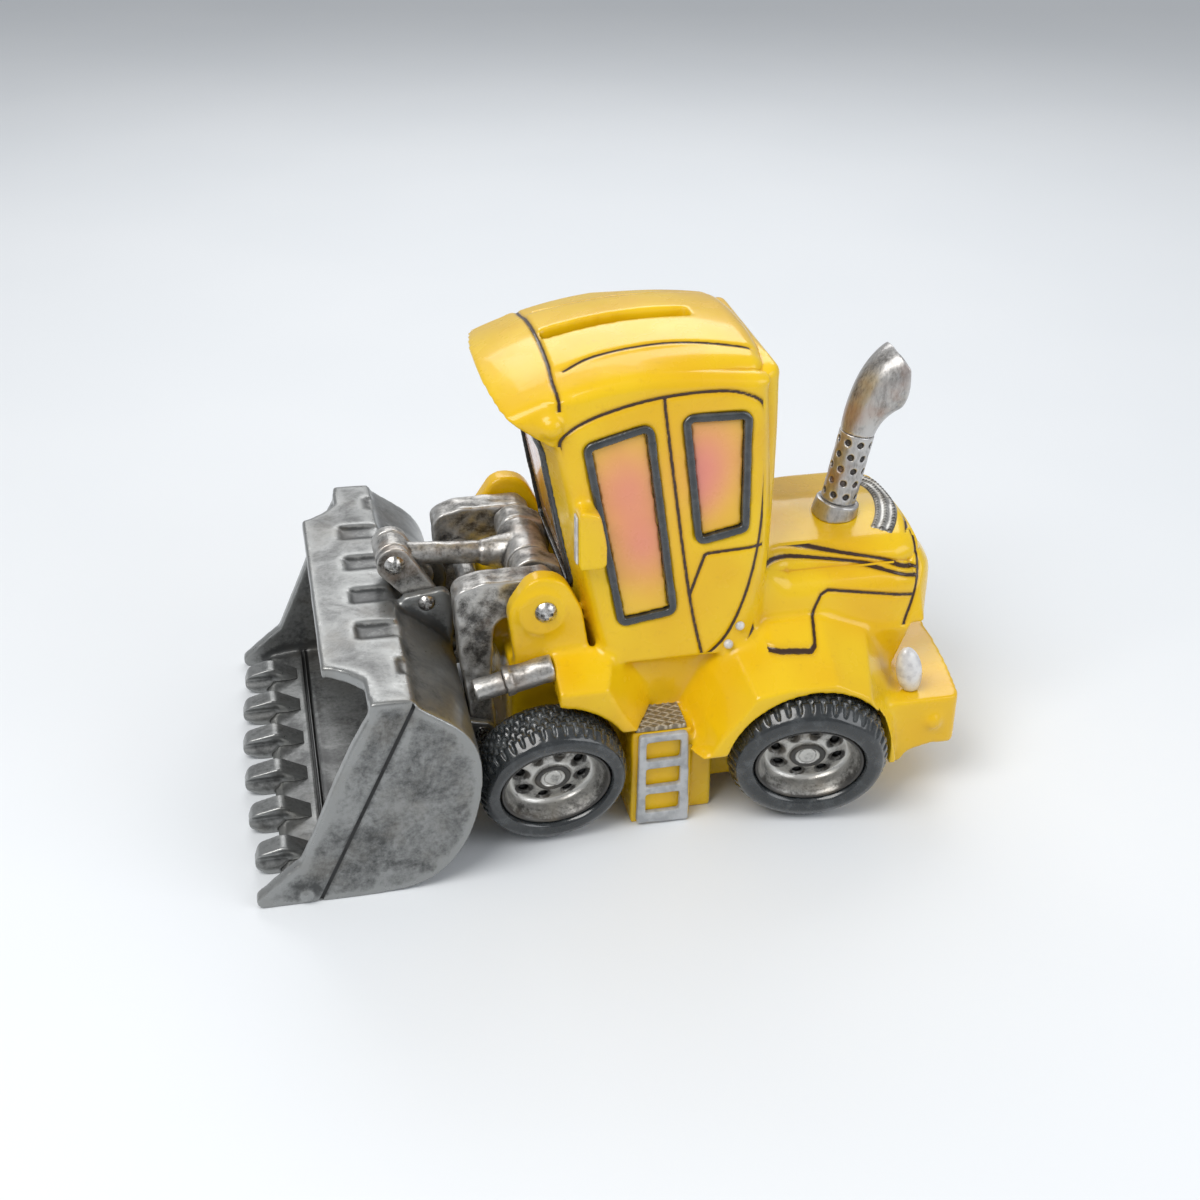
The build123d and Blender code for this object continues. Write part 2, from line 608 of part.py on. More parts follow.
def lever_screw_part():
    shank = rod_y(LEVER_PIN, LEVER_PIN_R, -LEVER_EAR_Y[1], LEVER_EAR_Y[1])
    return shank + both_sides(screw_head(LEVER_PIN, 1.9, 1.1, LEVER_EAR_Y[1]))


# ---------------------------------------------------------------- exhaust
EXHAUST_BASE = (-56.6, 6.0, 56.4)
EXHAUST_LEAN = 11.0


def exhaust_frame():
    return Pos(*EXHAUST_BASE) * Rot(0, -EXHAUST_LEAN, 0)


def exhaust_collar_part(hood):
    collar = Pos(0, 0, 1.0) * Cone(5.8, 5.0, 7.0)
    return exhaust_frame() * collar - hood_block(0)


def exhaust_sleeve_part():
    sleeve = Pos(0, 0, 12.9) * Cylinder(4.0, 16.8)
    for row in range(5):
        for i in range(8):
            turn = 45.0 * (i + 0.5 * (row % 2))
            hole = Pos(4.0, 0, 6.6 + row * 3.2) * Rot(0, 90, 0) * Cylinder(0.75, 1.6)
            sleeve -= Rot(0, 0, turn) * hole
    return exhaust_frame() * sleeve


def horn(shrink):
    stations = ((-60.65, 77.3, 3.9, 11), (-61.9, 81.6, 4.5, 22), (-65.0, 86.8, 6.0, 43), (-71.0, 91.6, 7.4, 55))
    rings = []
    for x, z, radius, lean in stations:
        tilt = radians(lean)
        plane = Plane(origin=(x, EXHAUST_BASE[1], z), x_dir=(0, 1, 0), z_dir=(-sin(tilt), 0, cos(tilt)))
        rings.append(plane * Circle(radius - shrink))
    return loft(rings)


def exhaust_outlet_part():
    outer = horn(0) - block((-90, -69.4), (-20, 20), (60, 110))
    bore = horn(0.9) & block((-90, -40), (-20, 20), (79.5, 110))
    return outer - bore - exhaust_sleeve_envelope()


def exhaust_sleeve_envelope():
    return exhaust_frame() * Pos(0, 0, 12.9) * Cylinder(4.0, 16.8)


# ---------------------------------------------------------------- small body parts
GRILLE_CENTRE = (-45.6, 0.0)


def grille_part():
    ring = Pos(*GRILLE_CENTRE) * (Circle(27.8) - Circle(22.1))
    wedge = make_face(Polyline(GRILLE_CENTRE, (-80, 23.5), (-80, -23.5), close=True))
    prism = plan_slab(ring & wedge, 50, 70)
    return (prism & (Pos(0, 0, 0.8) * hood_block(0))) - hood_block(0)


def mirror_housing_part(cab_outer):
    face = outline([(8.2, 77.3, 1.2), (3.6, 75.8, 1.4), (2.3, 69.1, 1.5), (2.3, 63.4, 1.0), (8.2, 63.4, 0.6)])
    shell = side_slab(face, 26.5, 32.8)
    return (shell - cab_outer).solids().sort_by(SortBy.VOLUME)[-1]


def mirror_glass_part():
    return block((8.2, 8.7), (29.2, 31.6), (64.6, 75.4))


def tail_lamp_part(hood, bumper, fender):
    lamp = Pos(-67.0, 33.8, 30.6) * Rot(0, 12, 0) * scale(Sphere(1), by=(3.0, 2.4, 6.2))
    lamp -= block((-80, -50), (20, 50), (10, 25.3))
    return (lamp - hood - fender).solids().sort_by(SortBy.VOLUME)[-1]


def dome_studs_part(roof, cab):
    upper = stud((12.6, 27.5, 93.6), 2.4, 1.2, 2.5) - roof - cab
    lower = stud((-72.1, 38.6, 19.2), 2.4, 1.3, 0.5) - block((-76, -68), (36, 38.6), (15, 24))
    studs = upper.solids().sort_by(SortBy.VOLUME)[-1] + lower
    return Compound(children=[solid for solid in both_sides(studs).solids()])


def rivets_part(cab_outer, fender):
    rivets = Pos(-28.0, 29.9, 44.6) * Sphere(1.1) + Pos(-25.4, 30.6, 40.6) * Sphere(1.1)
    rivets = rivets - cab_outer - fender - block((-60, 0), (0, CHASSIS_HALF), (0, DECK_Z))
    return Compound(children=[solid for solid in both_sides(rivets).solids()])


# ---------------------------------------------------------------- the whole loader
def build():
    parts = {}
    cab_outer = cab_block(0)
    parts["chassis"] = chassis = chassis_part()
    parts["cab_roof"] = roof = roof_part()
    parts["cab_shell"] = cab_shell_part(chassis, roof)
    parts["engine_hood"] = hood = hood_part(cab_outer)
    parts["rear_bumper"] = bumper = bumper_part(chassis, hood)
    front_fender = front_fender_part(cab_outer, chassis)
    rear_fender = rear_fender_part(cab_outer, hood, bumper, chassis)

    for group, name in (("side", "side_window"), ("windscreen", "windscreen"), ("rear", "rear_window")):
        parts[name + "_pane"] = window_pane(group)
        parts[name + "_gasket"] = window_gasket(group)

    front = wheel_parts(FRONT_WHEEL)
    rear = wheel_parts(REAR_WHEEL)
    left_pieces = {
        "front_fender": front_fender,
        "rear_fender": rear_fender,
        "arm_bracket": bracket_part(),
        "ladder": ladder_part(),
        "tyre_front": front[0],
        "tyre_rear": rear[0],
        "rim_front": front[1],
        "rim_rear": rear[1],
        "loader_arm": arm_part(),
        "bucket_side": side_plate_part(),
    }
    for name, shape in left_pieces.items():
        parts[name + "_left"] = shape
        parts[name + "_right"] = other_side(shape)

    paired = {
        "hub_caps": front[2] + rear[2],
        "step_treads": step_tread_part() - ladder_part(),
        "tilt_yokes": tilt_yoke_part(chassis),
        "bracket_screws": bracket_screw_part(),
        "lift_cylinder_barrels": lift_cylinder("barrel") - chassis,
        "lift_cylinder_rods": lift_cylinder("rod"),
        "mirror_housings": mirror_housing_part(cab_outer) - parts["side_window_gasket"],
        "mirror_glasses": mirror_glass_part(),
        "tail_lamps": tail_lamp_part(hood, bumper, rear_fender),
        "bucket_pivot_pins": bucket_pin_part(),
        "lever_plates": lever_part(),
        "bucket_side_bolts": stud((70.0, BUCKET_HALF + 0.3, 2.4), 1.6, 0.8, 0.3),
    }
    for name, shape in paired.items():
        parts[name] = Compound(children=[s for s in shape.solids()] + [s for s in other_side(shape).solids()])

    parts["stopper_plug"] = stopper_part()
    parts["cross_shaft"] = cross_shaft_part()
    parts["arm_cross_tube"] = arm_tube_part()
    parts["tilt_rod"] = tilt_rod_part()
    parts["rod_pin_screw"] = rod_screw_part()
    parts["lever_pivot_screw"] = lever_screw_part()
    parts["exhaust_collar"] = exhaust_collar_part(hood)
    parts["exhaust_sleeve"] = exhaust_sleeve_part() - parts["exhaust_collar"]
    parts["exhaust_outlet"] = exhaust_outlet_part()
    parts["hood_grille"] = grille_part()
    parts["dome_studs"] = dome_studs_part(roof, cab_outer)
    parts["side_rivets"] = rivets_part(cab_outer, rear_fender)
    parts["bucket_shell"] = bucket_shell_part()
    parts["cutting_edge"] = cutting_edge_part()
    teeth = [tooth_part((k - (TOOTH_COUNT - 1) / 2) * TOOTH_PITCH) for k in range(TOOTH_COUNT)]
    parts["bucket_teeth"] = Compound(children=[s for tooth in teeth for s in (tooth - parts["cutting_edge"]).solids()])
    parts["bucket_ears"] = bucket_ears_part()
    return parts


def main():
    os.makedirs("parts", exist_ok=True)
    for name, shape in build().items():
        export_step(shape, "parts/" + name + ".step")


if __name__ == "__main__":
    main()
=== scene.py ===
"""Looks for the toy front loader coin bank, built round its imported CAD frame.

The yellow body is one glossy resin casting with engraved, brown-washed lines. The bucket and its
linkage are antiqued silver, the tyres are gloss black, and the windows are airbrushed.
"""

import math

import bpy
import numpy as np
from mathutils import Matrix, Vector
from mathutils.bvhtree import BVHTree


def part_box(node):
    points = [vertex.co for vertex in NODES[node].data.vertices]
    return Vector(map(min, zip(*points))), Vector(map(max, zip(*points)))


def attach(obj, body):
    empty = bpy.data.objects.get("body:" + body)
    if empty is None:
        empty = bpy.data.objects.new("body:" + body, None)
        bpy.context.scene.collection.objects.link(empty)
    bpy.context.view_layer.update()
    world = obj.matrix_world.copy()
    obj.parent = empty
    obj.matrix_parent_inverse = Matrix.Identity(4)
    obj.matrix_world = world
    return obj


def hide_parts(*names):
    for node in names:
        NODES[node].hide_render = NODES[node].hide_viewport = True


MM = 0.001
CAST_EDGE_ROUNDS = 5                # smoothing rounds that tell a small casting's edges from its flats
FAR = 3.0                    # distance in mm at which an engraved line no longer shows
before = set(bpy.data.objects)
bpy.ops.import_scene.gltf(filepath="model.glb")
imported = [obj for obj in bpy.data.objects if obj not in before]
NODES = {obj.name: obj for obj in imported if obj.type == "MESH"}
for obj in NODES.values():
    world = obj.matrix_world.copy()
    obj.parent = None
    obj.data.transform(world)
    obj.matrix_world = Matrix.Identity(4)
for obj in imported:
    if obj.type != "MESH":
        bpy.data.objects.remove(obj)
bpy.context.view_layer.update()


# ---------------------------------------------------------------- meshes
def node_box(name):
    """The box of a CAD node as two numpy corners in millimetres."""
    low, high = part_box(name)
    return np.array(low) / MM, np.array(high) / MM


def joined(nodes):
    """Vertices (mm) and faces of several CAD nodes as one list."""
    points, faces = [], []
    for name in nodes:
        mesh = NODES[name].data
        start = len(points)
        points += [tuple(v.co / MM) for v in mesh.vertices]
        faces += [[start + i for i in p.vertices] for p in mesh.polygons]
    return points, faces


def new_object(name, points, faces):
    mesh = bpy.data.meshes.new(name)
    mesh.from_pydata([tuple(c * MM for c in p) for p in points], [], faces)
    mesh.validate()
    mesh.update()
    obj = bpy.data.objects.new(name, mesh)
    bpy.context.scene.collection.objects.link(obj)
    return obj


def bake_modifiers(obj):
    """Turns an object's modifiers into its mesh."""
    bpy.context.view_layer.update()
    graph = bpy.context.evaluated_depsgraph_get()
    mesh = bpy.data.meshes.new_from_object(obj.evaluated_get(graph))
    obj.modifiers.clear()
    old = obj.data
    obj.data = mesh
    bpy.data.meshes.remove(old)


def points_of(obj):
    """Vertex positions in millimetres."""
    data = np.zeros(len(obj.data.vertices) * 3)
    obj.data.vertices.foreach_get("co", data)
    return data.reshape(-1, 3) / MM


def set_points(obj, points):
    obj.data.vertices.foreach_set("co", (np.asarray(points) * MM).ravel())
    obj.data.update()


def normals_of(obj):
    data = np.zeros(len(obj.data.vertices) * 3)
    obj.data.vertices.foreach_get("normal", data)
    return data.reshape(-1, 3)


def edges_of(obj):
    data = np.zeros(len(obj.data.edges) * 2, np.int64)
    obj.data.edges.foreach_get("vertices", data)
    return data.reshape(-1, 2)


def relaxed(points, edges, rounds):
    """Each point moved to the mean of its neighbours, several times over."""
    count = len(points)
    a, b = edges[:, 0], edges[:, 1]
    degree = np.maximum(np.bincount(a, minlength=count) + np.bincount(b, minlength=count), 1)
    out = points.copy()
    for _ in range(rounds):
        total = np.empty_like(out)
        for axis in range(3):
            column = out[:, axis]
            total[:, axis] = (np.bincount(a, column[b], count) + np.bincount(b, column[a], count))
        out = 0.5 * out + 0.5 * total / degree[:, None]
    return out


def set_attribute(obj, name, values):
    layer = obj.data.attributes.new(name, "FLOAT", "POINT")
    layer.data.foreach_set("value", np.asarray(values, np.float32))


def mark_wear_shade_and_sheen(obj, rounds=10):
    """Attribute from curvature: 0.5 on flats, towards 0 in hollows and towards 1 on worn edges; the paints read
    it for real wash and wear on the silver, for painted shade in hollows elsewhere and for painted sheen on
    black edges.
    """
    points = points_of(obj)
    bulge = np.zeros(len(points))
    edges, normals = edges_of(obj), normals_of(obj)
    for steps, gain in ((rounds, 0.55), (rounds * 5, 0.30)):
        bulge += gain * ((points - relaxed(points, edges, steps)) * normals).sum(1)
    set_attribute(obj, "wear_shade_and_sheen", np.clip(0.5 + 2.2 * bulge, 0, 1))


def recast(obj, voxel, smooth=4, fillet=0):
    """Remeshes a piece into one soft-edged casting; fillet rounds fill its inside corners."""
    remesh = obj.modifiers.new("cast", "REMESH")
    remesh.mode = "VOXEL"
    remesh.voxel_size = voxel * MM
    bake_modifiers(obj)
    points, edges = points_of(obj), edges_of(obj)
    points = relaxed(points, edges, smooth)
    set_points(obj, points)
    for _ in range(fillet):
        soft = relaxed(points, edges, 6)
        lift = ((soft - points) * normals_of(obj)).sum(1)
        points = points + np.clip(lift, 0, None)[:, None] * normals_of(obj)
        set_points(obj, points)
    shade_smooth(obj)


def shade_smooth(obj):
    obj.data.polygons.foreach_set("use_smooth", np.ones(len(obj.data.polygons), bool))
    obj.data.update()


def lumpy(obj, height, size, seed=0.0):
    """Presses a slow hand-finished waviness into a casting."""
    points, normals = points_of(obj), normals_of(obj)
    wave = np.zeros(len(points))
    for k, (turn, share) in enumerate(((0.3, 1.0), (1.7, 0.8), (2.9, 0.7), (4.4, 0.6))):
        way = np.array([math.cos(turn), math.sin(turn), math.sin(2.3 * turn + seed)])
        wave += share * np.sin(points @ way * (2 * math.pi / size) * (1 + 0.37 * k) + seed + 1.9 * k)
    set_points(obj, points + normals * (wave * height / 3)[:, None])


def finish_piece(obj, body, material, replaces=()):
    if "line" not in obj.data.attributes:
        set_attribute(obj, "line", np.full(len(obj.data.vertices), FAR))
    obj.data.materials.clear()
    obj.data.materials.append(material)
    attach(obj, body)
    if replaces:
        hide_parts(*replaces)


def soften(obj, width, segments=3):
    """A small bevel on a carried-over CAD node."""
    bevel = obj.modifiers.new("edge", "BEVEL")
    bevel.width = width * MM
    bevel.segments = segments
    bevel.limit_method = "ANGLE"
    bevel.angle_limit = math.radians(30)


# ---------------------------------------------------------------- engraved lines
def curve_through(points, steps=6):
    """A smooth path through a few points (Catmull-Rom)."""
    p = [np.array(q, float) for q in points]
    p = [2 * p[0] - p[1]] + p + [2 * p[-1] - p[-2]]
    path = []
    for a, b, c, d in zip(p, p[1:], p[2:], p[3:]):
        for t in np.linspace(0, 1, steps, endpoint=False):
            path.append(0.5 * (2 * b + (c - a) * t + (2 * a - 5 * b + 4 * c - d) * t * t
                               + (3 * b - a - 3 * c + d) * t ** 3))
    return np.array(path + [p[-2]])


def path_distance(points, path):
    """Distance from each flat point to a flat path, in millimetres."""
    best = np.full(len(points), 1e9)
    for a, b in zip(path, path[1:]):
        way = b - a
        share = np.clip(((points - a) @ way) / max(way @ way, 1e-9), 0, 1)
        gap = points - a - share[:, None] * way
        best = np.minimum(best, np.einsum("ij,ij->i", gap, gap))
    return np.sqrt(best)


class Engraving:
    """Gathers the distance to the nearest engraved line over a casting's surface."""

    def __init__(self, obj):
        self.obj = obj
        self.points = points_of(obj)
        self.normals = normals_of(obj)
        self.field = np.full(len(self.points), FAR)

    def line(self, path, axes, region):
        path = np.array(path, float)
        flat = self.points[:, list(axes)]
        near = ((flat > path.min(0) - FAR) & (flat < path.max(0) + FAR)).all(1)
        near &= region(self.points, self.normals)
        self.field[near] = np.minimum(self.field[near], path_distance(flat[near], path))

    def cut(self, depth, width):
        """Presses the lines in and keeps the distance for the paint."""
        press = depth * np.exp(-(self.field / width) ** 2)
        set_points(self.obj, self.points - self.normals * press[:, None])
        set_attribute(self.obj, "line", self.field)


# ---------------------------------------------------------------- materials
class Look:
    """A node material built round one Principled shader."""

    def __init__(self, name, **sockets):
        self.material = bpy.data.materials.new(name)
        self.material.use_nodes = True
        self.tree = self.material.node_tree
        self.shader = self.tree.nodes["Principled BSDF"]
        for socket, value in sockets.items():
            self.shader.inputs[socket.replace("_", " ")].default_value = value
        self.place = self.add("ShaderNodeTexCoord").outputs["Object"]

    def add(self, kind, **settings):
        node = self.tree.nodes.new(kind)
        for key, value in settings.items():
            setattr(node, key, value)
        return node

    def join(self, source, target):
        self.tree.links.new(source, target)

    def feed(self, node, index, value):
        socket = node.inputs[index]
        if isinstance(value, bpy.types.NodeSocket):
            self.join(value, socket)
        elif isinstance(value, tuple) and len(value) == 3 and len(socket.default_value) == 4:
            socket.default_value = (*value, 1)
        else:
            socket.default_value = value

    def sum(self, operation, a, b):
        node = self.add("ShaderNodeMath", operation=operation)
        self.feed(node, 0, a)
        self.feed(node, 1, b)
        return node.outputs[0]

    def noise(self, size_mm, detail=3.0, rough=0.55, stretch=(1, 1, 1), twist=0.0):
        """Noise whose features are about size_mm wide."""
        spread = self.add("ShaderNodeMapping")
        spread.inputs["Scale"].default_value = tuple(s / MM / size_mm for s in stretch)
        self.join(self.place, spread.inputs["Vector"])
        node = self.add("ShaderNodeTexNoise")
        node.inputs["Scale"].default_value = 1.0
        node.inputs["Detail"].default_value = detail
        node.inputs["Roughness"].default_value = rough
        node.inputs["Distortion"].default_value = twist
        self.join(spread.outputs[0], node.inputs["Vector"])
        return node.outputs["Fac"]

    def attribute(self, name):
        return self.add("ShaderNodeAttribute", attribute_name=name).outputs["Fac"]

    def step(self, value, low, high, from_value=0.0, to_value=1.0):
        node = self.add("ShaderNodeMapRange", interpolation_type="SMOOTHSTEP")
        for index, item in enumerate((value, low, high, from_value, to_value)):
            self.feed(node, index, item)
        return node.outputs[0]

    def mix(self, share, a, b):
        node = self.add("ShaderNodeMix", data_type="RGBA")
        self.feed(node, 0, share)
        self.feed(node, 6, a)
        self.feed(node, 7, b)
        return node.outputs[2]

    def near(self, centre_mm, reach_mm, axes=(1, 1, 1)):
        """1 at a place, fading to 0 at reach_mm from it; an axis scaled by 0 is ignored."""
        move = self.add("ShaderNodeVectorMath", operation="SUBTRACT")
        self.join(self.place, move.inputs[0])
        move.inputs[1].default_value = tuple(c * MM for c in centre_mm)
        flat = self.add("ShaderNodeVectorMath", operation="MULTIPLY")
        self.join(move.outputs[0], flat.inputs[0])
        flat.inputs[1].default_value = axes
        size = self.add("ShaderNodeVectorMath", operation="LENGTH")
        self.join(flat.outputs[0], size.inputs[0])
        return self.step(size.outputs["Value"], 0.0, reach_mm * MM, 1.0, 0.0)

    def bump(self, height, depth_mm, strength=1.0, after=None):
        node = self.add("ShaderNodeBump")
        node.inputs["Strength"].default_value = strength
        node.inputs["Distance"].default_value = depth_mm * MM
        self.join(height, node.inputs["Height"])
        if after is not None:
            self.join(after, node.inputs["Normal"])
        return node.outputs[0]

    def done(self, colour=None, roughness=None, metallic=None, normal=None):
        for socket, value in (("Base Color", colour), ("Roughness", roughness),
                              ("Metallic", metallic), ("Normal", normal)):
            if value is not None:
                self.join(value, self.shader.inputs[socket])
        return self.material


PINK = (0.72, 0.20, 0.20)
PINK_SPOTS = (               # centre and reach of each sprayed cloud, in millimetres
    ((-3.0, 0, 78.5), 13.5),
    ((-6.5, 0, 66.0), 12.0),
    ((-19.5, 0, 83.5), 13.5),
    ((-17.0, 0, 78.0), 10.0),
)


def airbrush(look, colour, strength):
    """Soft pink clouds sprayed over the side windows."""
    for centre, reach in PINK_SPOTS:
        cloud = look.near(centre, reach, (1, 0, 0.8))
        colour = look.mix(look.sum("MULTIPLY", cloud, strength), colour, PINK)
    return colour


def yellow_paint():
    look = Look("gloss_yellow_resin", Coat_Weight=0.34, Coat_Roughness=0.06, Specular_IOR_Level=0.30)
    slow = look.noise(26.0, 2.0)
    fine = look.noise(1.6, 4.0)
    # Slow patches between a lit yellow and a shaded yellow: painted light and shade.
    colour = look.mix(look.step(slow, 0.35, 0.68), (0.82, 0.535, 0.006), (0.76, 0.445, 0.004))
    colour = look.mix(look.sum("MULTIPLY", look.step(fine, 0.58, 0.75), 0.18), colour, (0.50, 0.24, 0.01))
    # Hollows darkened towards a deep orange: painted shade.
    hollow_shade = look.step(look.attribute("wear_shade_and_sheen"), 0.42, 0.20)
    colour = look.mix(look.sum("MULTIPLY", hollow_shade, 0.55), colour, (0.60, 0.27, 0.006))
    colour = airbrush(look, colour, 0.16)
    line = look.attribute("line")
    ragged = look.sum("ADD", line, look.sum("MULTIPLY", look.sum("SUBTRACT", look.noise(1.1, 2.0), 0.5), 0.22))
    wash = look.step(ragged, 0.42, 0.24)
    stain = look.sum("MULTIPLY", look.step(line, 1.3, 0.3), 0.22)
    colour = look.mix(stain, colour, (0.40, 0.17, 0.01))
    colour = look.mix(wash, colour, (0.045, 0.020, 0.010))
    rough = look.step(look.noise(9.0, 3.0), 0.3, 0.7, 0.20, 0.33)
    groove = look.bump(look.step(line, 0.15, 0.65), 0.35, 0.8)
    skin = look.bump(look.noise(3.2, 2.0), 0.05, 0.5, groove)
    return look.done(colour, rough, None, skin)


def window_paint():
    look = Look("airbrushed_window", Coat_Weight=0.5, Coat_Roughness=0.08)
    colour = look.mix(look.step(look.noise(14.0, 2.0), 0.3, 0.7), (0.82, 0.49, 0.02), (0.77, 0.42, 0.015))
    colour = airbrush(look, colour, 0.72)
    rough = look.step(look.noise(5.0, 3.0), 0.3, 0.7, 0.24, 0.38)
    return look.done(colour, rough, None, look.bump(look.noise(2.2, 2.0), 0.04, 0.5))


def windscreen_paint():
    look = Look("airbrushed_windscreen", Coat_Weight=0.7, Coat_Roughness=0.05)
    slope = look.noise(18.0, 2.0, 0.5, (1, 1, 0.5))
    colour = look.mix(look.step(slope, 0.38, 0.62), (0.74, 0.40, 0.04), (0.66, 0.24, 0.14))
    return look.done(colour, look.step(look.noise(5.0), 0.3, 0.7, 0.16, 0.30), None,
                     look.bump(look.noise(2.6, 2.0), 0.04, 0.5))


def black_gloss(name, sheen):
    look = Look(name, Coat_Weight=0.6, Coat_Roughness=0.08)
    # Bluish grey patches and lighter convex edges, scaled by sheen: painted sheen on the black.
    sheen_patches = look.step(look.noise(4.0, 5.0, 0.65), 0.48, 0.72)
    edge = look.step(look.attribute("wear_shade_and_sheen"), 0.52, 0.75)
    colour = look.mix(look.sum("MULTIPLY", sheen_patches, sheen), (0.013, 0.016, 0.018), (0.10, 0.11, 0.115))
    colour = look.mix(look.sum("MULTIPLY", edge, sheen), colour, (0.14, 0.15, 0.155))
    rough = look.step(look.noise(3.0, 4.0), 0.3, 0.7, 0.16, 0.34)
    return look.done(colour, rough, None, look.bump(look.noise(1.3, 3.0), 0.06, 0.5))


def antique_silver(name, bright, dark, tint, tint_share, mottle=3.0, brush=(1, 1, 1), balance=0.5):
    """Silver paint rubbed over a black wash: dark in hollows, bright on worn edges."""
    look = Look(name, Coat_Weight=0.25, Coat_Roughness=0.18)
    wear_shade_and_sheen = look.attribute("wear_shade_and_sheen")
    cloud = look.noise(mottle * 3.2, 5.0, 0.65, brush, 0.6)
    speck = look.noise(mottle * 0.35, 5.0, 0.7, brush)
    mixed = look.sum("ADD", look.sum("MULTIPLY", cloud, 0.62), look.sum("MULTIPLY", speck, 0.38))
    mixed = look.sum("ADD", mixed, look.sum("MULTIPLY", look.sum("SUBTRACT", wear_shade_and_sheen, 0.5), 1.15))
    silver = look.step(mixed, balance - 0.17, balance + 0.14)
    colour = look.mix(silver, dark, bright)
    stained = look.sum("MULTIPLY", look.step(look.noise(11.0, 3.0), 0.50, 0.72), tint_share)
    colour = look.mix(stained, colour, tint)
    line = look.step(look.attribute("line"), 0.52, 0.28)
    colour = look.mix(line, colour, (0.010, 0.010, 0.010))
    metal = look.step(silver, 0.0, 1.0, 0.35, 0.80)
    rough = look.step(speck, 0.3, 0.7, 0.30, 0.48)
    rough = look.sum("SUBTRACT", rough, look.sum("MULTIPLY", silver, 0.04))
    grain = look.bump(look.noise(mottle * 0.5, 4.0, 0.65, brush), 0.07, 0.55)
    return look.done(colour, rough, metal, look.bump(silver, 0.03, 0.4, grain))


def steel_screw():
    look = Look("screw_steel", Metallic=1.0)
    turn = look.noise(0.7, 4.0, 0.6, (1, 0.2, 1))
    colour = look.mix(look.step(turn, 0.35, 0.65), (0.30, 0.29, 0.28), (0.74, 0.73, 0.71))
    return look.done(colour, look.step(turn, 0.3, 0.7, 0.22, 0.38), None, look.bump(turn, 0.03, 0.4))


def plain_paint(name, light, shade, size_mm, rough_low, rough_high, bump_mm=0.05, coat=0.3):
    """Brush-painted resin with soft, uneven cover, and hollows darkened as painted shade."""
    look = Look(name, Coat_Weight=coat, Coat_Roughness=0.15)
    patch = look.noise(size_mm, 4.0, 0.6)
    # Hollows darkened towards a deeper copy of the shade colour: painted shade.
    hollow_shade = look.step(look.attribute("wear_shade_and_sheen"), 0.45, 0.15)
    colour = look.mix(look.step(patch, 0.36, 0.66), light, shade)
    colour = look.mix(look.sum("MULTIPLY", hollow_shade, 0.7), colour, tuple(c * 0.35 for c in shade))
    rough = look.step(look.noise(size_mm * 0.5, 3.0), 0.3, 0.7, rough_low, rough_high)
    return look.done(colour, rough, None, look.bump(look.noise(size_mm * 0.3, 3.0), bump_mm, 0.5))


def floor_paint():
    look = Look("studio_floor", Roughness=0.55, Specular_IOR_Level=0.25)
    colour = look.mix(look.step(look.noise(160.0, 2.0), 0.3, 0.7), (0.80, 0.825, 0.85), (0.82, 0.842, 0.865))
    return look.done(colour, None, None, look.bump(look.noise(6.0, 2.0), 0.01, 0.1))


YELLOW = yellow_paint()
WINDOW = window_paint()
WINDSCREEN = windscreen_paint()
TYRE = black_gloss("tyre_gloss_black", 0.45)
GASKET = black_gloss("gasket_black", 0.35)
BUCKET_SILVER = antique_silver("antiqued_bucket", bright=(0.30, 0.305, 0.30), dark=(0.045, 0.047, 0.047),
                               tint=(0.16, 0.14, 0.11), tint_share=0.25)
LINK_SILVER = antique_silver("antiqued_linkage", bright=(0.52, 0.51, 0.49), dark=(0.030, 0.028, 0.025),
                             tint=(0.34, 0.25, 0.18), tint_share=0.45, mottle=2.0, balance=0.53)
RIM_SILVER = antique_silver("antiqued_rim", bright=(0.58, 0.57, 0.54), dark=(0.045, 0.042, 0.038),
                            tint=(0.28, 0.23, 0.16), tint_share=0.35, mottle=1.8)
STACK_SILVER = antique_silver("antiqued_stack", bright=(0.52, 0.51, 0.50), dark=(0.055, 0.050, 0.048),
                              tint=(0.38, 0.22, 0.15), tint_share=0.5, mottle=1.8, brush=(1, 1, 0.35))
STEEL = steel_screw()
LADDER = plain_paint("ladder_grey", (0.46, 0.47, 0.48), (0.30, 0.31, 0.32), 3.0, 0.35, 0.5)
TREAD = plain_paint("tread_bronze", (0.40, 0.34, 0.24), (0.22, 0.17, 0.10), 1.6, 0.30, 0.45)
LAMP = plain_paint("lamp_pearl", (0.72, 0.71, 0.70), (0.40, 0.39, 0.40), 3.4, 0.20, 0.35, 0.08, 0.7)
MIRROR = plain_paint("mirror_silver", (0.70, 0.70, 0.70), (0.50, 0.50, 0.50), 2.5, 0.12, 0.2)
STOPPER = plain_paint("stopper_rubber", (0.020, 0.020, 0.020), (0.035, 0.033, 0.030), 2.0, 0.55, 0.7, 0.05, 0.0)


# ---------------------------------------------------------------- the yellow casting
CASTING = ("chassis", "cab_shell", "cab_roof", "engine_hood", "rear_bumper", "front_fender_left",
           "front_fender_right", "rear_fender_left", "rear_fender_right", "arm_bracket_left",
           "arm_bracket_right", "mirror_housings", "dome_studs")
CAB_HALF, CAB_LEAN, DECK = 30.2, 0.055, 38.0   # the cab's side stands at CAB_HALF on the deck and leans in
SIDE = (0, 2)                # engraved on the sides, seen along Y
TOP = (0, 1)                 # engraved from above

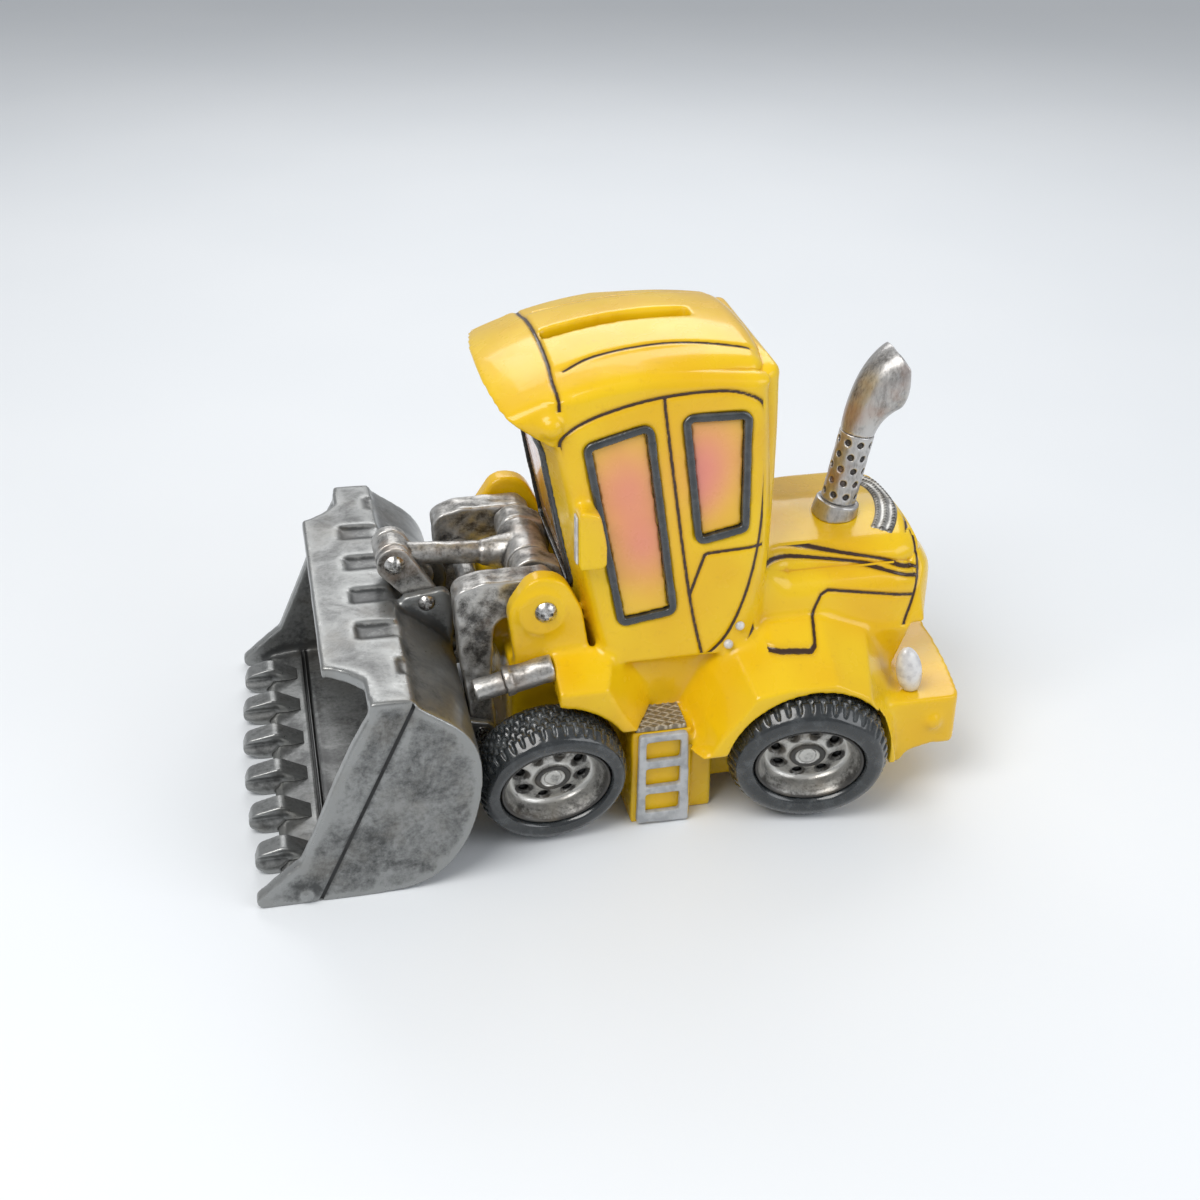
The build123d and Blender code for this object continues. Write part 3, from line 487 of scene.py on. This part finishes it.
DOOR = curve_through([(11.2, 87.5), (10.2, 91.5), (3.1, 95.2), (-9.2, 98.0), (-21.7, 98.6), (-28, 97.4),
                      (-32, 94.6), (-33.4, 88), (-33, 78.4), (-32, 64.3), (-29.3, 52.3), (-25.2, 42.7),
                      (-19.9, 37.1)])
DOOR_EDGE = curve_through([(-10.6, 97.9), (-12.6, 82), (-16.6, 53.0), (-19.9, 37.1)])
DOOR_PANEL = [(-16.6, 53.0), (-19.8, 62.2), (-20.4, 62.5), (-31.3, 63.0), (-34.5, 62.8)]
CAB_REAR = curve_through([(-34.6, 59.4), (-34.4, 55), (-33.6, 49), (-31.5, 42.5), (-27.2, 36.4)])
HOOD_LINE_HIGH = curve_through([(-35.4, 56.9), (-46.2, 56.0), (-60.8, 53.2), (-71.6, 50.0)])
HOOD_LINE_LOW = curve_through([(-35.4, 55.2), (-46.3, 54.4), (-60.9, 51.7), (-71.1, 48.6)])
HOOD_PANEL = [(-31.5, 40.4), (-33.1, 39.9), (-43.2, 39.3), (-44.4, 39.9), (-48.0, 47.4), (-49.6, 48.3),
              (-69.9, 44.8)]
HOOD_CORNER = curve_through([(-72.4, 56.0), (-71.9, 49.5), (-70.2, 44.4), (-67.1, 36.2), (-64.8, 27.1),
                             (-64.4, 25.5)])
HOOD_REAR = curve_through([(-73.0, -22.5), (-75.4, -12), (-76.2, 0), (-75.4, 12), (-73.0, 22.5)])
GRILLE_RIM = curve_through([(-69.3, -21.0), (-72.6, -10), (-73.6, 0), (-72.6, 10), (-69.3, 21.0)])
ROOF_CROSS = [(10.9, 0), (11.0, 14), (11.3, 20), (11.0, 27)]
ROOF_CREASE = curve_through([(8.4, 17.4), (2.4, 15.6), (-10.7, 15.0), (-18.5, 15.3), (-31.0, 16.6)])


HOOD_ROUNDING = 8.5          # radius of the hood's rear and top corners, in millimetres
ROOF_ROUNDING = 7.0          # radius of the cab's rear corners
HOOD_TOP_X = (-79.8, -70.5, -52, -30)
HOOD_TOP_Z = (52.6, 58.4, 59.0, 57.6)


def on_side(points, normals):
    """The flat sides of the cab, but not the fenders."""
    skin = CAB_HALF - CAB_LEAN * (points[:, 2] - DECK)
    return (np.abs(np.abs(points[:, 1]) - skin) < 7.5) & (np.abs(normals[:, 1]) > 0.8) & (points[:, 2] > 34)


def on_hood(points, normals):
    """The hood's sides up to where they round over into its top."""
    beside = (points[:, 0] < -33.5) & (np.abs(points[:, 1]) > 12) & (np.abs(normals[:, 1]) > 0.25)
    return beside & (points[:, 2] > 38)


def on_top(points, normals):
    return (points[:, 2] > 56) & (normals[:, 2] > 0.5)


def on_roof(points, normals):
    return (points[:, 2] > 96.5) & (normals[:, 2] > 0.05)


def mirrored(path):
    return np.array(path, float) * (1, -1)


def round_over(body, radius, depths):
    """Rounds a box-like corner: depths(points) says how deep each point lies under each face."""
    points = points_of(body)
    deep, signs, chosen = depths(points)
    short = np.clip(radius - deep, 0, None)
    size = np.sqrt((short ** 2).sum(1))
    scale = np.where(size > 0, short.max(1) / np.maximum(size, 1e-9), 1.0)
    move = (short - short * scale[:, None]) * signs
    points[chosen] += move[chosen]
    set_points(body, points)


def inward(points):
    """Which way is into the body from its rear, its side and its top."""
    x, y, z = points.T
    return np.stack([np.ones_like(x), -np.sign(y), -np.ones_like(x)], 1)


def hood_depths(points):
    x, y, z = points.T
    rear = -79.0 + 5.5 * (y / 25.0) ** 2
    side = 27.4 - 0.12 * (z - 30)
    crown = 58.9 - 3.9 * (y / 24.4) ** 2
    top = np.minimum(crown, np.interp(x, HOOD_TOP_X, HOOD_TOP_Z))
    deep = np.stack([x - rear, side - np.abs(y), top - z], 1)
    fade = (np.clip((-36.0 - x) / 5.0, 0, 1) * np.clip((z - 37.0) / 14.0, 0, 1))[:, None]
    return deep, inward(points) * fade, (x < -36) & (z > 37) & (np.abs(y) < 29)


def roof_depths(points):
    x, y, z = points.T
    low, high = node_box("cab_roof")
    deep = np.stack([x - low[0], high[1] - 0.5 - np.abs(y), high[2] - 1.2 - z], 1)
    fade = (np.clip((-6.0 - x) / 22.0, 0, 1) * np.clip((z - 60.0) / 36.0, 0, 1))[:, None]
    return deep, inward(points) * fade, (x < -6) & (z > 60)


def yellow_casting():
    points, faces = joined(CASTING)
    body = new_object("body_casting", points, faces)
    recast(body, 0.46, smooth=5, fillet=8)
    raise_roof_panel(body)
    round_over(body, HOOD_ROUNDING, hood_depths)
    round_over(body, ROOF_ROUNDING, roof_depths)
    mark_wear_shade_and_sheen(body, 6)
    lines = Engraving(body)
    for path in (DOOR, DOOR_EDGE, DOOR_PANEL, CAB_REAR):
        lines.line(path, SIDE, on_side)
    for path in (HOOD_LINE_HIGH, HOOD_LINE_LOW, HOOD_PANEL, HOOD_CORNER):
        lines.line(path, SIDE, on_hood)
    for path in (HOOD_REAR, GRILLE_RIM):
        lines.line(path, TOP, on_top)
    for path in (ROOF_CROSS, mirrored(ROOF_CROSS), ROOF_CREASE, mirrored(ROOF_CREASE)):
        lines.line(path, TOP, on_roof)
    lines.cut(0.38, 0.5)
    finish_piece(body, "loader", YELLOW, CASTING)
    return body


def raise_roof_panel(body):
    """The middle of the roof stands a little above its sides."""
    points, normals = points_of(body), normals_of(body)
    inside = 1 / (1 + np.exp((np.abs(points[:, 1]) - 16.0) / 0.35))
    behind = 1 / (1 + np.exp((points[:, 0] - 10.6) / 0.3))
    up = (points[:, 2] > 99.5) & (normals[:, 2] > 0.4)
    points[:, 2] += 0.30 * inside * behind * up
    set_points(body, points)


BODY = yellow_casting()


# ---------------------------------------------------------------- windows
def window_pieces():
    for group, paint in (("side_window", WINDOW), ("windscreen", WINDSCREEN), ("rear_window", WINDOW)):
        rubber = new_object(group + "_rubber", *joined([group + "_gasket"]))
        recast(rubber, 0.26, smooth=4)
        lumpy(rubber, 0.10, 9.0)
        mark_wear_shade_and_sheen(rubber, 4)
        finish_piece(rubber, "loader", GASKET, [group + "_gasket"])
        pane = new_object(group + "_panel", *joined([group + "_pane"]))
        recast(pane, 0.4, smooth=2)
        mark_wear_shade_and_sheen(pane, 4)
        finish_piece(pane, "loader", paint, [group + "_pane"])


window_pieces()


# ---------------------------------------------------------------- castings that follow their CAD node
def cast_piece(name, nodes, body, material, slot, voxel, smooth, lump=0.0):
    piece = new_object(name, *joined(nodes))
    recast(piece, voxel, smooth)
    if lump:
        lumpy(piece, lump, 7.0, len(name))
    mark_wear_shade_and_sheen(piece, CAST_EDGE_ROUNDS)
    finish_piece(piece, body, material, nodes)
    return piece


def bucket_casting():
    nodes = ("bucket_shell", "bucket_side_left", "bucket_side_right", "cutting_edge", "bucket_ears",
             "bucket_side_bolts")
    bucket = new_object("bucket_casting", *joined(nodes))
    recast(bucket, 0.48, smooth=4, fillet=2)
    lumpy(bucket, 0.10, 23.0)
    mark_wear_shade_and_sheen(bucket, 7)
    lines = Engraving(bucket)
    lines.line([(45.1, 46.6), (67.3, 0)], SIDE, lambda p, n: (np.abs(p[:, 1]) > 48.5) & (np.abs(n[:, 1]) > 0.5))
    for x in (64.4, 65.4):
        lines.line([(x, -47), (x, 47)], TOP, lambda p, n: (p[:, 2] < 6) & (n[:, 2] > 0.5))
    lines.cut(0.35, 0.5)
    finish_piece(bucket, "bucket", BUCKET_SILVER, nodes)


def waist_claws(claws):
    """Each claw is waisted along its flanks, so that a blade stands along its top."""
    points = points_of(claws)
    middles = [sum(b) / 2 for b in claw_spans(points)]
    nearest = nearest_middle(points[:, 1], middles)
    waist = np.exp(-((points[:, 2] - 3.4) / 1.3) ** 2) * np.clip((points[:, 0] - 70.5) / 3, 0, 1)
    points[:, 1] -= (points[:, 1] - nearest) * 0.42 * waist
    set_points(claws, points)


def claw_spans(points):
    """The Y span of each claw, from the gaps between them."""
    across = np.sort(points[:, 1])
    gaps = np.flatnonzero(np.diff(across) > 1.0)
    starts, ends = np.r_[0, gaps + 1], np.r_[gaps, len(across) - 1]
    return [(across[a], across[b]) for a, b in zip(starts, ends)]


def nearest_middle(values, middles):
    middles = np.array(middles)
    return middles[np.abs(values[:, None] - middles[None, :]).argmin(1)]


bucket_casting()
waist_claws(cast_piece("bucket_claws", ("bucket_teeth",), "bucket", BUCKET_SILVER, "bucket_silver", 0.30, 6))
for side in ("left", "right"):
    cast_piece("arm_casting_" + side, ("loader_arm_" + side,), "arms", LINK_SILVER, "linkage_silver",
               0.30, 6, 0.16)

SINGLE_CASTINGS = (          # name, CAD node, body, material, slot, voxel, smoothing rounds, lump height
    ("arm_tube", "arm_cross_tube", "arms", LINK_SILVER, "linkage_silver", 0.28, 5, 0.1),
    ("rod_casting", "tilt_rod", "rod", LINK_SILVER, "linkage_silver", 0.26, 6, 0.12),
    ("lever_castings", "lever_plates", "lever", LINK_SILVER, "linkage_silver", 0.24, 5, 0.08),
    ("yoke_castings", "tilt_yokes", "loader", LINK_SILVER, "linkage_silver", 0.28, 8, 0.2),
    ("cylinder_barrels", "lift_cylinder_barrels", "loader", LINK_SILVER, "linkage_silver", 0.28, 4, 0.12),
    ("cylinder_rods", "lift_cylinder_rods", "loader", LINK_SILVER, "linkage_silver", 0.26, 4, 0.12),
    ("stack_collar", "exhaust_collar", "loader", STACK_SILVER, "exhaust_silver", 0.26, 4, 0.08),
    ("stack_sleeve", "exhaust_sleeve", "loader", STACK_SILVER, "exhaust_silver", 0.22, 3, 0.0),
    ("stack_outlet", "exhaust_outlet", "loader", STACK_SILVER, "exhaust_silver", 0.26, 4, 0.1),
    ("hub_castings", "hub_caps", "loader", RIM_SILVER, "rim_silver", 0.26, 3, 0.0),
    ("rivet_castings", "side_rivets", "loader", LAMP, "screw_steel", 0.20, 3, 0.0),
    ("mirror_faces", "mirror_glasses", "loader", MIRROR, "mirror_silver", 0.20, 3, 0.0),
    ("stopper_moulding", "stopper_plug", "stopper", STOPPER, "stopper_rubber", 0.40, 3, 0.0),
    ("lamp_castings", "tail_lamps", "loader", LAMP, "lamp_white", 0.28, 5, 0.0),
)
for name, node, *rest in SINGLE_CASTINGS:
    cast_piece(name, (node,), *rest)
for side in ("left", "right"):
    cast_piece("ladder_casting_" + side, ("ladder_" + side,), "loader", LADDER, "ladder_grey", 0.22, 4, 0.06)


# ---------------------------------------------------------------- wheels
WHEELS = {                   # toe and camber in degrees, and the half sizes of the oval tyre and rim
    "front": dict(toe=4.0, camber=7.0, width=13.0, tyre=(16.7, 15.7), rim=(12.4, 10.2)),
    "rear": dict(toe=-9.5, camber=7.0, width=14.0, tyre=(17.9, 16.3), rim=(12.3, 10.0)),
}
LUGS = 42
RIM_HOLES = 8


def wheel_matrix(name, side):
    """The pose of a wheel's middle, read from its CAD tyre's box."""
    low, high = node_box(f"tyre_{name}_{side}")
    angles = WHEELS[name]
    hand = 1 if side == "left" else -1
    turn = Matrix.Rotation(math.radians(hand * angles["toe"]), 4, "Z")
    lean = Matrix.Rotation(math.radians(-hand * angles["camber"]), 4, "X")
    return Matrix.Translation(Vector((low + high) / 2)) @ turn @ lean


def revolved(name, wheel, radii, across, steps, matrix, hand):
    """An oval ring of profile points. radii runs from 0 at the hub to 1 at the rim's edge and 2 at the
    tread, and across is in millimetres; both are (steps, profile) arrays."""
    angles = np.linspace(0, 2 * math.pi, steps, endpoint=False)[:, None]
    wide = np.interp(radii, [0, 1, 2], [0, wheel["rim"][0], wheel["tyre"][0]])
    tall = np.interp(radii, [0, 1, 2], [0, wheel["rim"][1], wheel["tyre"][1]])
    points = np.stack([wide * np.cos(angles), across * hand, tall * np.sin(angles)], 2)
    count = radii.shape[1]
    flat = points.reshape(-1, 3)
    turn = np.array(matrix.to_3x3())
    flat = flat @ turn.T + np.array(matrix.translation)
    faces = []
    for i in range(steps):
        for k in range(count):
            a, b = i * count + k, i * count + (k + 1) % count
            c, d = ((i + 1) % steps) * count + (k + 1) % count, ((i + 1) % steps) * count + k
            faces.append((a, b, c, d) if hand > 0 else (d, c, b, a))
    return new_object(name, flat, faces)


def arc_profile(corners, spacing):
    """Points along a closed profile of (radius, across) corners, evenly spaced."""
    path = np.array(corners + [corners[0]], float)
    run = np.r_[0, np.cumsum(np.hypot(*np.diff(path, axis=0).T))]
    at = np.linspace(0, run[-1], int(run[-1] / spacing), endpoint=False)
    return np.stack([np.interp(at, run, path[:, 0]), np.interp(at, run, path[:, 1])], 1)


def tread_depth(turn, across, half):
    """How far the tread is cut in at a place: two staggered rows of blocks and a zigzag middle."""
    row = np.abs(across) / half
    wave = 0.06 * np.sign(np.sin(turn * LUGS))
    middle = np.exp(-((across / half - wave) / 0.05) ** 4)
    second = np.maximum(np.exp(-((row - 0.30) / 0.03) ** 4), np.exp(-((row - 0.62) / 0.03) ** 4))
    stagger = np.where((row > 0.30) & (row < 0.62), 0.5, 0.0) + np.where(across > 0, 0.25, 0.0)
    pitch = np.abs(((turn / (2 * math.pi) * LUGS + stagger) % 1) - 0.5)
    gaps = np.exp(-(pitch / 0.13) ** 4)
    siping = 0.35 * np.exp(-(np.abs(pitch - 0.30) / 0.035) ** 2) * (row < 0.5)
    return np.clip(np.maximum.reduce([middle, 0.8 * second, gaps, siping]), 0, 1)


def profile_grid(corners, scale, steps):
    """A closed profile of (radius share, across) corners spread round the wheel."""
    stretched = [(r * scale, a) for r, a in corners]
    profile = arc_profile(stretched, 0.34)
    radii = np.repeat(profile[None, :, 0] / scale, steps, 0)
    return radii, np.repeat(profile[None, :, 1], steps, 0)


def tyre(name, side):
    """A fat tyre: round sidewall, bead rings and a blocky tread."""
    wheel = WHEELS[name]
    half = wheel["width"] / 2
    hand = 1 if side == "left" else -1
    corners = [(1.0, half - 0.9), (1.08, half - 0.2), (1.25, half + 0.3), (1.45, half + 0.3),
               (1.65, half - 0.2), (1.82, half - 1.5), (1.95, half - 2.9), (2.0, half - 4.0), (2.0, -half + 4.0),
               (1.95, -half + 2.9), (1.82, -half + 1.5), (1.65, -half + 0.5), (1.45, -half),
               (1.0, -half + 0.4)]
    steps = 430
    radii, across = profile_grid(corners, 5.5, steps)
    turn = np.linspace(0, 2 * math.pi, steps, endpoint=False)[:, None]
    cut = tread_depth(turn, across, half - 1.9)
    on_tread = np.clip((radii - 1.74) / 0.12, 0, 1)
    bead = 0.25 * np.exp(-((radii - 1.10) / 0.045) ** 2) + 0.12 * np.exp(-((radii - 1.70) / 0.03) ** 2)
    across = across + np.sign(across) * bead
    radii = radii - 0.14 * cut * on_tread
    piece = revolved(f"tyre_{name}_{side}_cast", wheel, radii, across, steps, wheel_matrix(name, side), hand)
    set_points(piece, relaxed(points_of(piece), edges_of(piece), 2))
    shade_smooth(piece)
    mark_wear_shade_and_sheen(piece, 5)
    finish_piece(piece, "loader", TYRE, [f"tyre_{name}_{side}"])


def rim(name, side):
    """A deep dished rim with a ring of holes round the hub."""
    wheel = WHEELS[name]
    half = wheel["width"] / 2
    hand = 1 if side == "left" else -1
    face = half - 5.2
    corners = [(0.005, face + 1.0), (0.20, face + 1.0), (0.24, face + 1.5), (0.31, face + 1.5),
               (0.35, face + 0.6), (0.44, face + 0.3), (0.74, face - 0.5), (0.80, face + 0.3),
               (0.84, half - 3.2), (0.89, half - 1.7), (0.945, half - 0.75), (0.985, half - 0.8),
               (1.0, half - 2.4), (1.0, -half + 0.5), (0.005, -half + 0.5)]
    steps = 300
    radii, across = profile_grid(corners, 12.0, steps)
    turn = np.linspace(0, 2 * math.pi, steps, endpoint=False)[:, None]
    outer_side = across > -half + 2
    spot_x, spot_z = radii * wheel["rim"][0] * np.cos(turn), radii * wheel["rim"][1] * np.sin(turn)
    nearest = np.full(across.shape, FAR)
    for k in range(RIM_HOLES):
        centre = 2 * math.pi * (k + 0.3) / RIM_HOLES
        reach = np.hypot(spot_x - 0.58 * wheel["rim"][0] * math.cos(centre),
                         spot_z - 0.58 * wheel["rim"][1] * math.sin(centre))
        across = across - 1.6 * outer_side / (1 + np.exp((reach - 1.1) / 0.12))
        nearest = np.minimum(nearest, np.maximum(reach - 0.75, 0))
    piece = revolved(f"rim_{name}_{side}_cast", wheel, radii, across, steps, wheel_matrix(name, side), hand)
    shade_smooth(piece)
    mark_wear_shade_and_sheen(piece, 6)
    set_attribute(piece, "line", nearest.reshape(-1))
    finish_piece(piece, "loader", RIM_SILVER, [f"rim_{name}_{side}"])


for wheel_name in WHEELS:
    for side in ("left", "right"):
        tyre(wheel_name, side)
        rim(wheel_name, side)


# ---------------------------------------------------------------- grille, treads and small CAD nodes
def relief_strip(name, outline, height, drop, material, node):
    """A strip of raised relief laid on the body; outline(u, v) gives X and Y for u, v in 0 to 1."""
    u_count, v_count = outline.counts
    tree = BVHTree.FromObject(BODY, bpy.context.evaluated_depsgraph_get())
    points, faces = [], []
    for i in range(u_count):
        for k in range(v_count):
            u, v = i / (u_count - 1), k / (v_count - 1)
            x, y = outline(u, v)
            hit = tree.ray_cast(Vector((x * MM, y * MM, 0.09)), Vector((0, 0, -1)))[0]
            base = hit.z / MM if hit is not None else 58.0
            edge = min(u, 1 - u, 0.06) / 0.06 * min(v, 1 - v, 0.03) / 0.03
            points.append((x, y, base - drop + (drop + height(u, v)) * min(edge, 1)))
    for i in range(u_count - 1):
        for k in range(v_count - 1):
            a = i * v_count + k
            faces.append((a, a + v_count, a + v_count + 1, a + 1))
    piece = new_object(name, points, faces)
    shade_smooth(piece)
    mark_wear_shade_and_sheen(piece, 3)
    finish_piece(piece, "loader", material, [node])


class Arc:
    """A bent strip round the stack's side of the hood."""
    counts = (46, 260)

    def __call__(self, u, v):
        radius = 21.6 + 5.6 * u
        turn = math.radians(-39 + 78 * v)
        return -45.6 - radius * math.cos(turn), radius * math.sin(turn)


def grille_height(u, v):
    rib = 0.5 + 0.5 * math.cos(u * 3 * 2 * math.pi + math.pi)
    bead = 0.5 + 0.5 * math.cos(v * 60 * math.pi)
    return 0.15 + 0.55 * rib ** 1.5 * (0.55 + 0.45 * bead)


relief_strip("grille_relief", Arc(), grille_height, 0.5, RIM_SILVER, "hood_grille")


def step_relief():
    """Diamond plate on top of each step."""
    low, high = node_box("step_treads")
    x_low, x_high = low[0], high[0]
    y_high = high[1]
    for side, hand in (("left", 1), ("right", -1)):
        points, faces, ridges = [], [], []
        nx, ny = 96, 76
        for i in range(nx):
            for k in range(ny):
                x = x_low + (x_high - x_low) * i / (nx - 1)
                y = y_high - 8.8 * k / (ny - 1)
                a = abs(((x * 0.62 + y) / 1.9) % 1 - 0.5) * 2
                b = abs(((x * 0.62 - y) / 1.9) % 1 - 0.5) * 2
                ridge = max(a, b) ** 6
                border = min(i, nx - 1 - i, k, ny - 1 - k)
                z = high[2] + (0.32 * ridge if border else -0.9)
                points.append((x, hand * y, z))
                ridges.append(0.12 + 0.75 * ridge)
        for i in range(nx - 1):
            for k in range(ny - 1):
                a = i * ny + k
                quad = (a, a + ny, a + ny + 1, a + 1)
                faces.append(quad[::-1] if hand > 0 else quad)
        piece = new_object("step_plate_" + side, points, faces)
        shade_smooth(piece)
        # Low between the diamond ridges, so the paint darkens there: painted shade.
        set_attribute(piece, "wear_shade_and_sheen", ridges)
        finish_piece(piece, "loader", TREAD, ["step_treads"])


step_relief()

KEPT = {                     # CAD nodes that stay, with their material and bevel in millimetres
    "cross_shaft": (STEEL, 0.1),
    "bracket_screws": (STEEL, 0.12),
    "bucket_pivot_pins": (STEEL, 0.2),
    "rod_pin_screw": (STEEL, 0.12),
    "lever_pivot_screw": (STEEL, 0.12),
}
for node_name, (paint, bevel) in KEPT.items():
    node = NODES[node_name]
    node.data.materials.clear()
    node.data.materials.append(paint)
    soften(node, bevel)


# ---------------------------------------------------------------- studio
def add_floor():
    size = 3000.0
    floor = new_object("studio_floor", [(-size, -size, 0), (size, -size, 0), (size, size, 0), (-size, size, 0)],
                       [(0, 1, 2, 3)])
    floor.data.materials.append(floor_paint())


def area_light(name, place_mm, target_mm, size_mm, power, colour=(1, 1, 1)):
    data = bpy.data.lights.new(name, "AREA")
    data.shape = "RECTANGLE"
    data.size, data.size_y = size_mm[0] * MM, size_mm[1] * MM
    data.energy = power
    data.color = colour
    light = bpy.data.objects.new(name, data)
    light.location = Vector(place_mm) * MM
    way = (Vector(target_mm) - Vector(place_mm)).normalized()
    light.rotation_euler = way.to_track_quat("-Z", "Y").to_euler()
    bpy.context.scene.collection.objects.link(light)


def add_world(strength):
    world = bpy.data.worlds.new("studio")
    world.use_nodes = True
    back = world.node_tree.nodes["Background"]
    back.inputs[0].default_value = (0.93, 0.96, 1.0, 1)
    back.inputs[1].default_value = strength
    bpy.context.scene.world = world


CAMERA_PLACE = (68.0, 327.3, 230.2)
CAMERA_AZIMUTH = 167.71
CAMERA_ELEVATION = 29.98
CAMERA_ROLL = 0.38
CAMERA_LENS = 49.86


def add_camera():
    turn, rise, roll = (math.radians(a) for a in (CAMERA_AZIMUTH, CAMERA_ELEVATION, CAMERA_ROLL))
    back = Vector((math.sin(turn) * math.cos(rise), -math.cos(turn) * math.cos(rise), math.sin(rise)))
    right = (-back).cross(Vector((0, 0, 1))).normalized()
    up = back.cross(right)
    right, up = right * math.cos(roll) + up * math.sin(roll), up * math.cos(roll) - right * math.sin(roll)
    data = bpy.data.cameras.new("camera")
    data.lens = CAMERA_LENS
    data.sensor_width = 36
    data.clip_start = 0.01
    camera = bpy.data.objects.new("camera", data)
    basis = Matrix((right, up, back)).transposed().to_4x4()
    camera.matrix_world = Matrix.Translation(Vector(CAMERA_PLACE) * MM) @ basis
    bpy.context.scene.collection.objects.link(camera)
    bpy.context.scene.camera = camera


add_floor()
add_world(0.45)
area_light("key", (330, 260, 620), (0, 0, 40), (420, 420), 3.4, (1.0, 0.985, 0.96))
area_light("fill", (-520, 420, 380), (0, 0, 40), (500, 400), 1.6, (0.95, 0.97, 1.0))
area_light("back", (-120, -520, 480), (0, 0, 50), (600, 300), 1.5)
add_camera()
bpy.context.scene.view_settings.view_transform = "Standard"
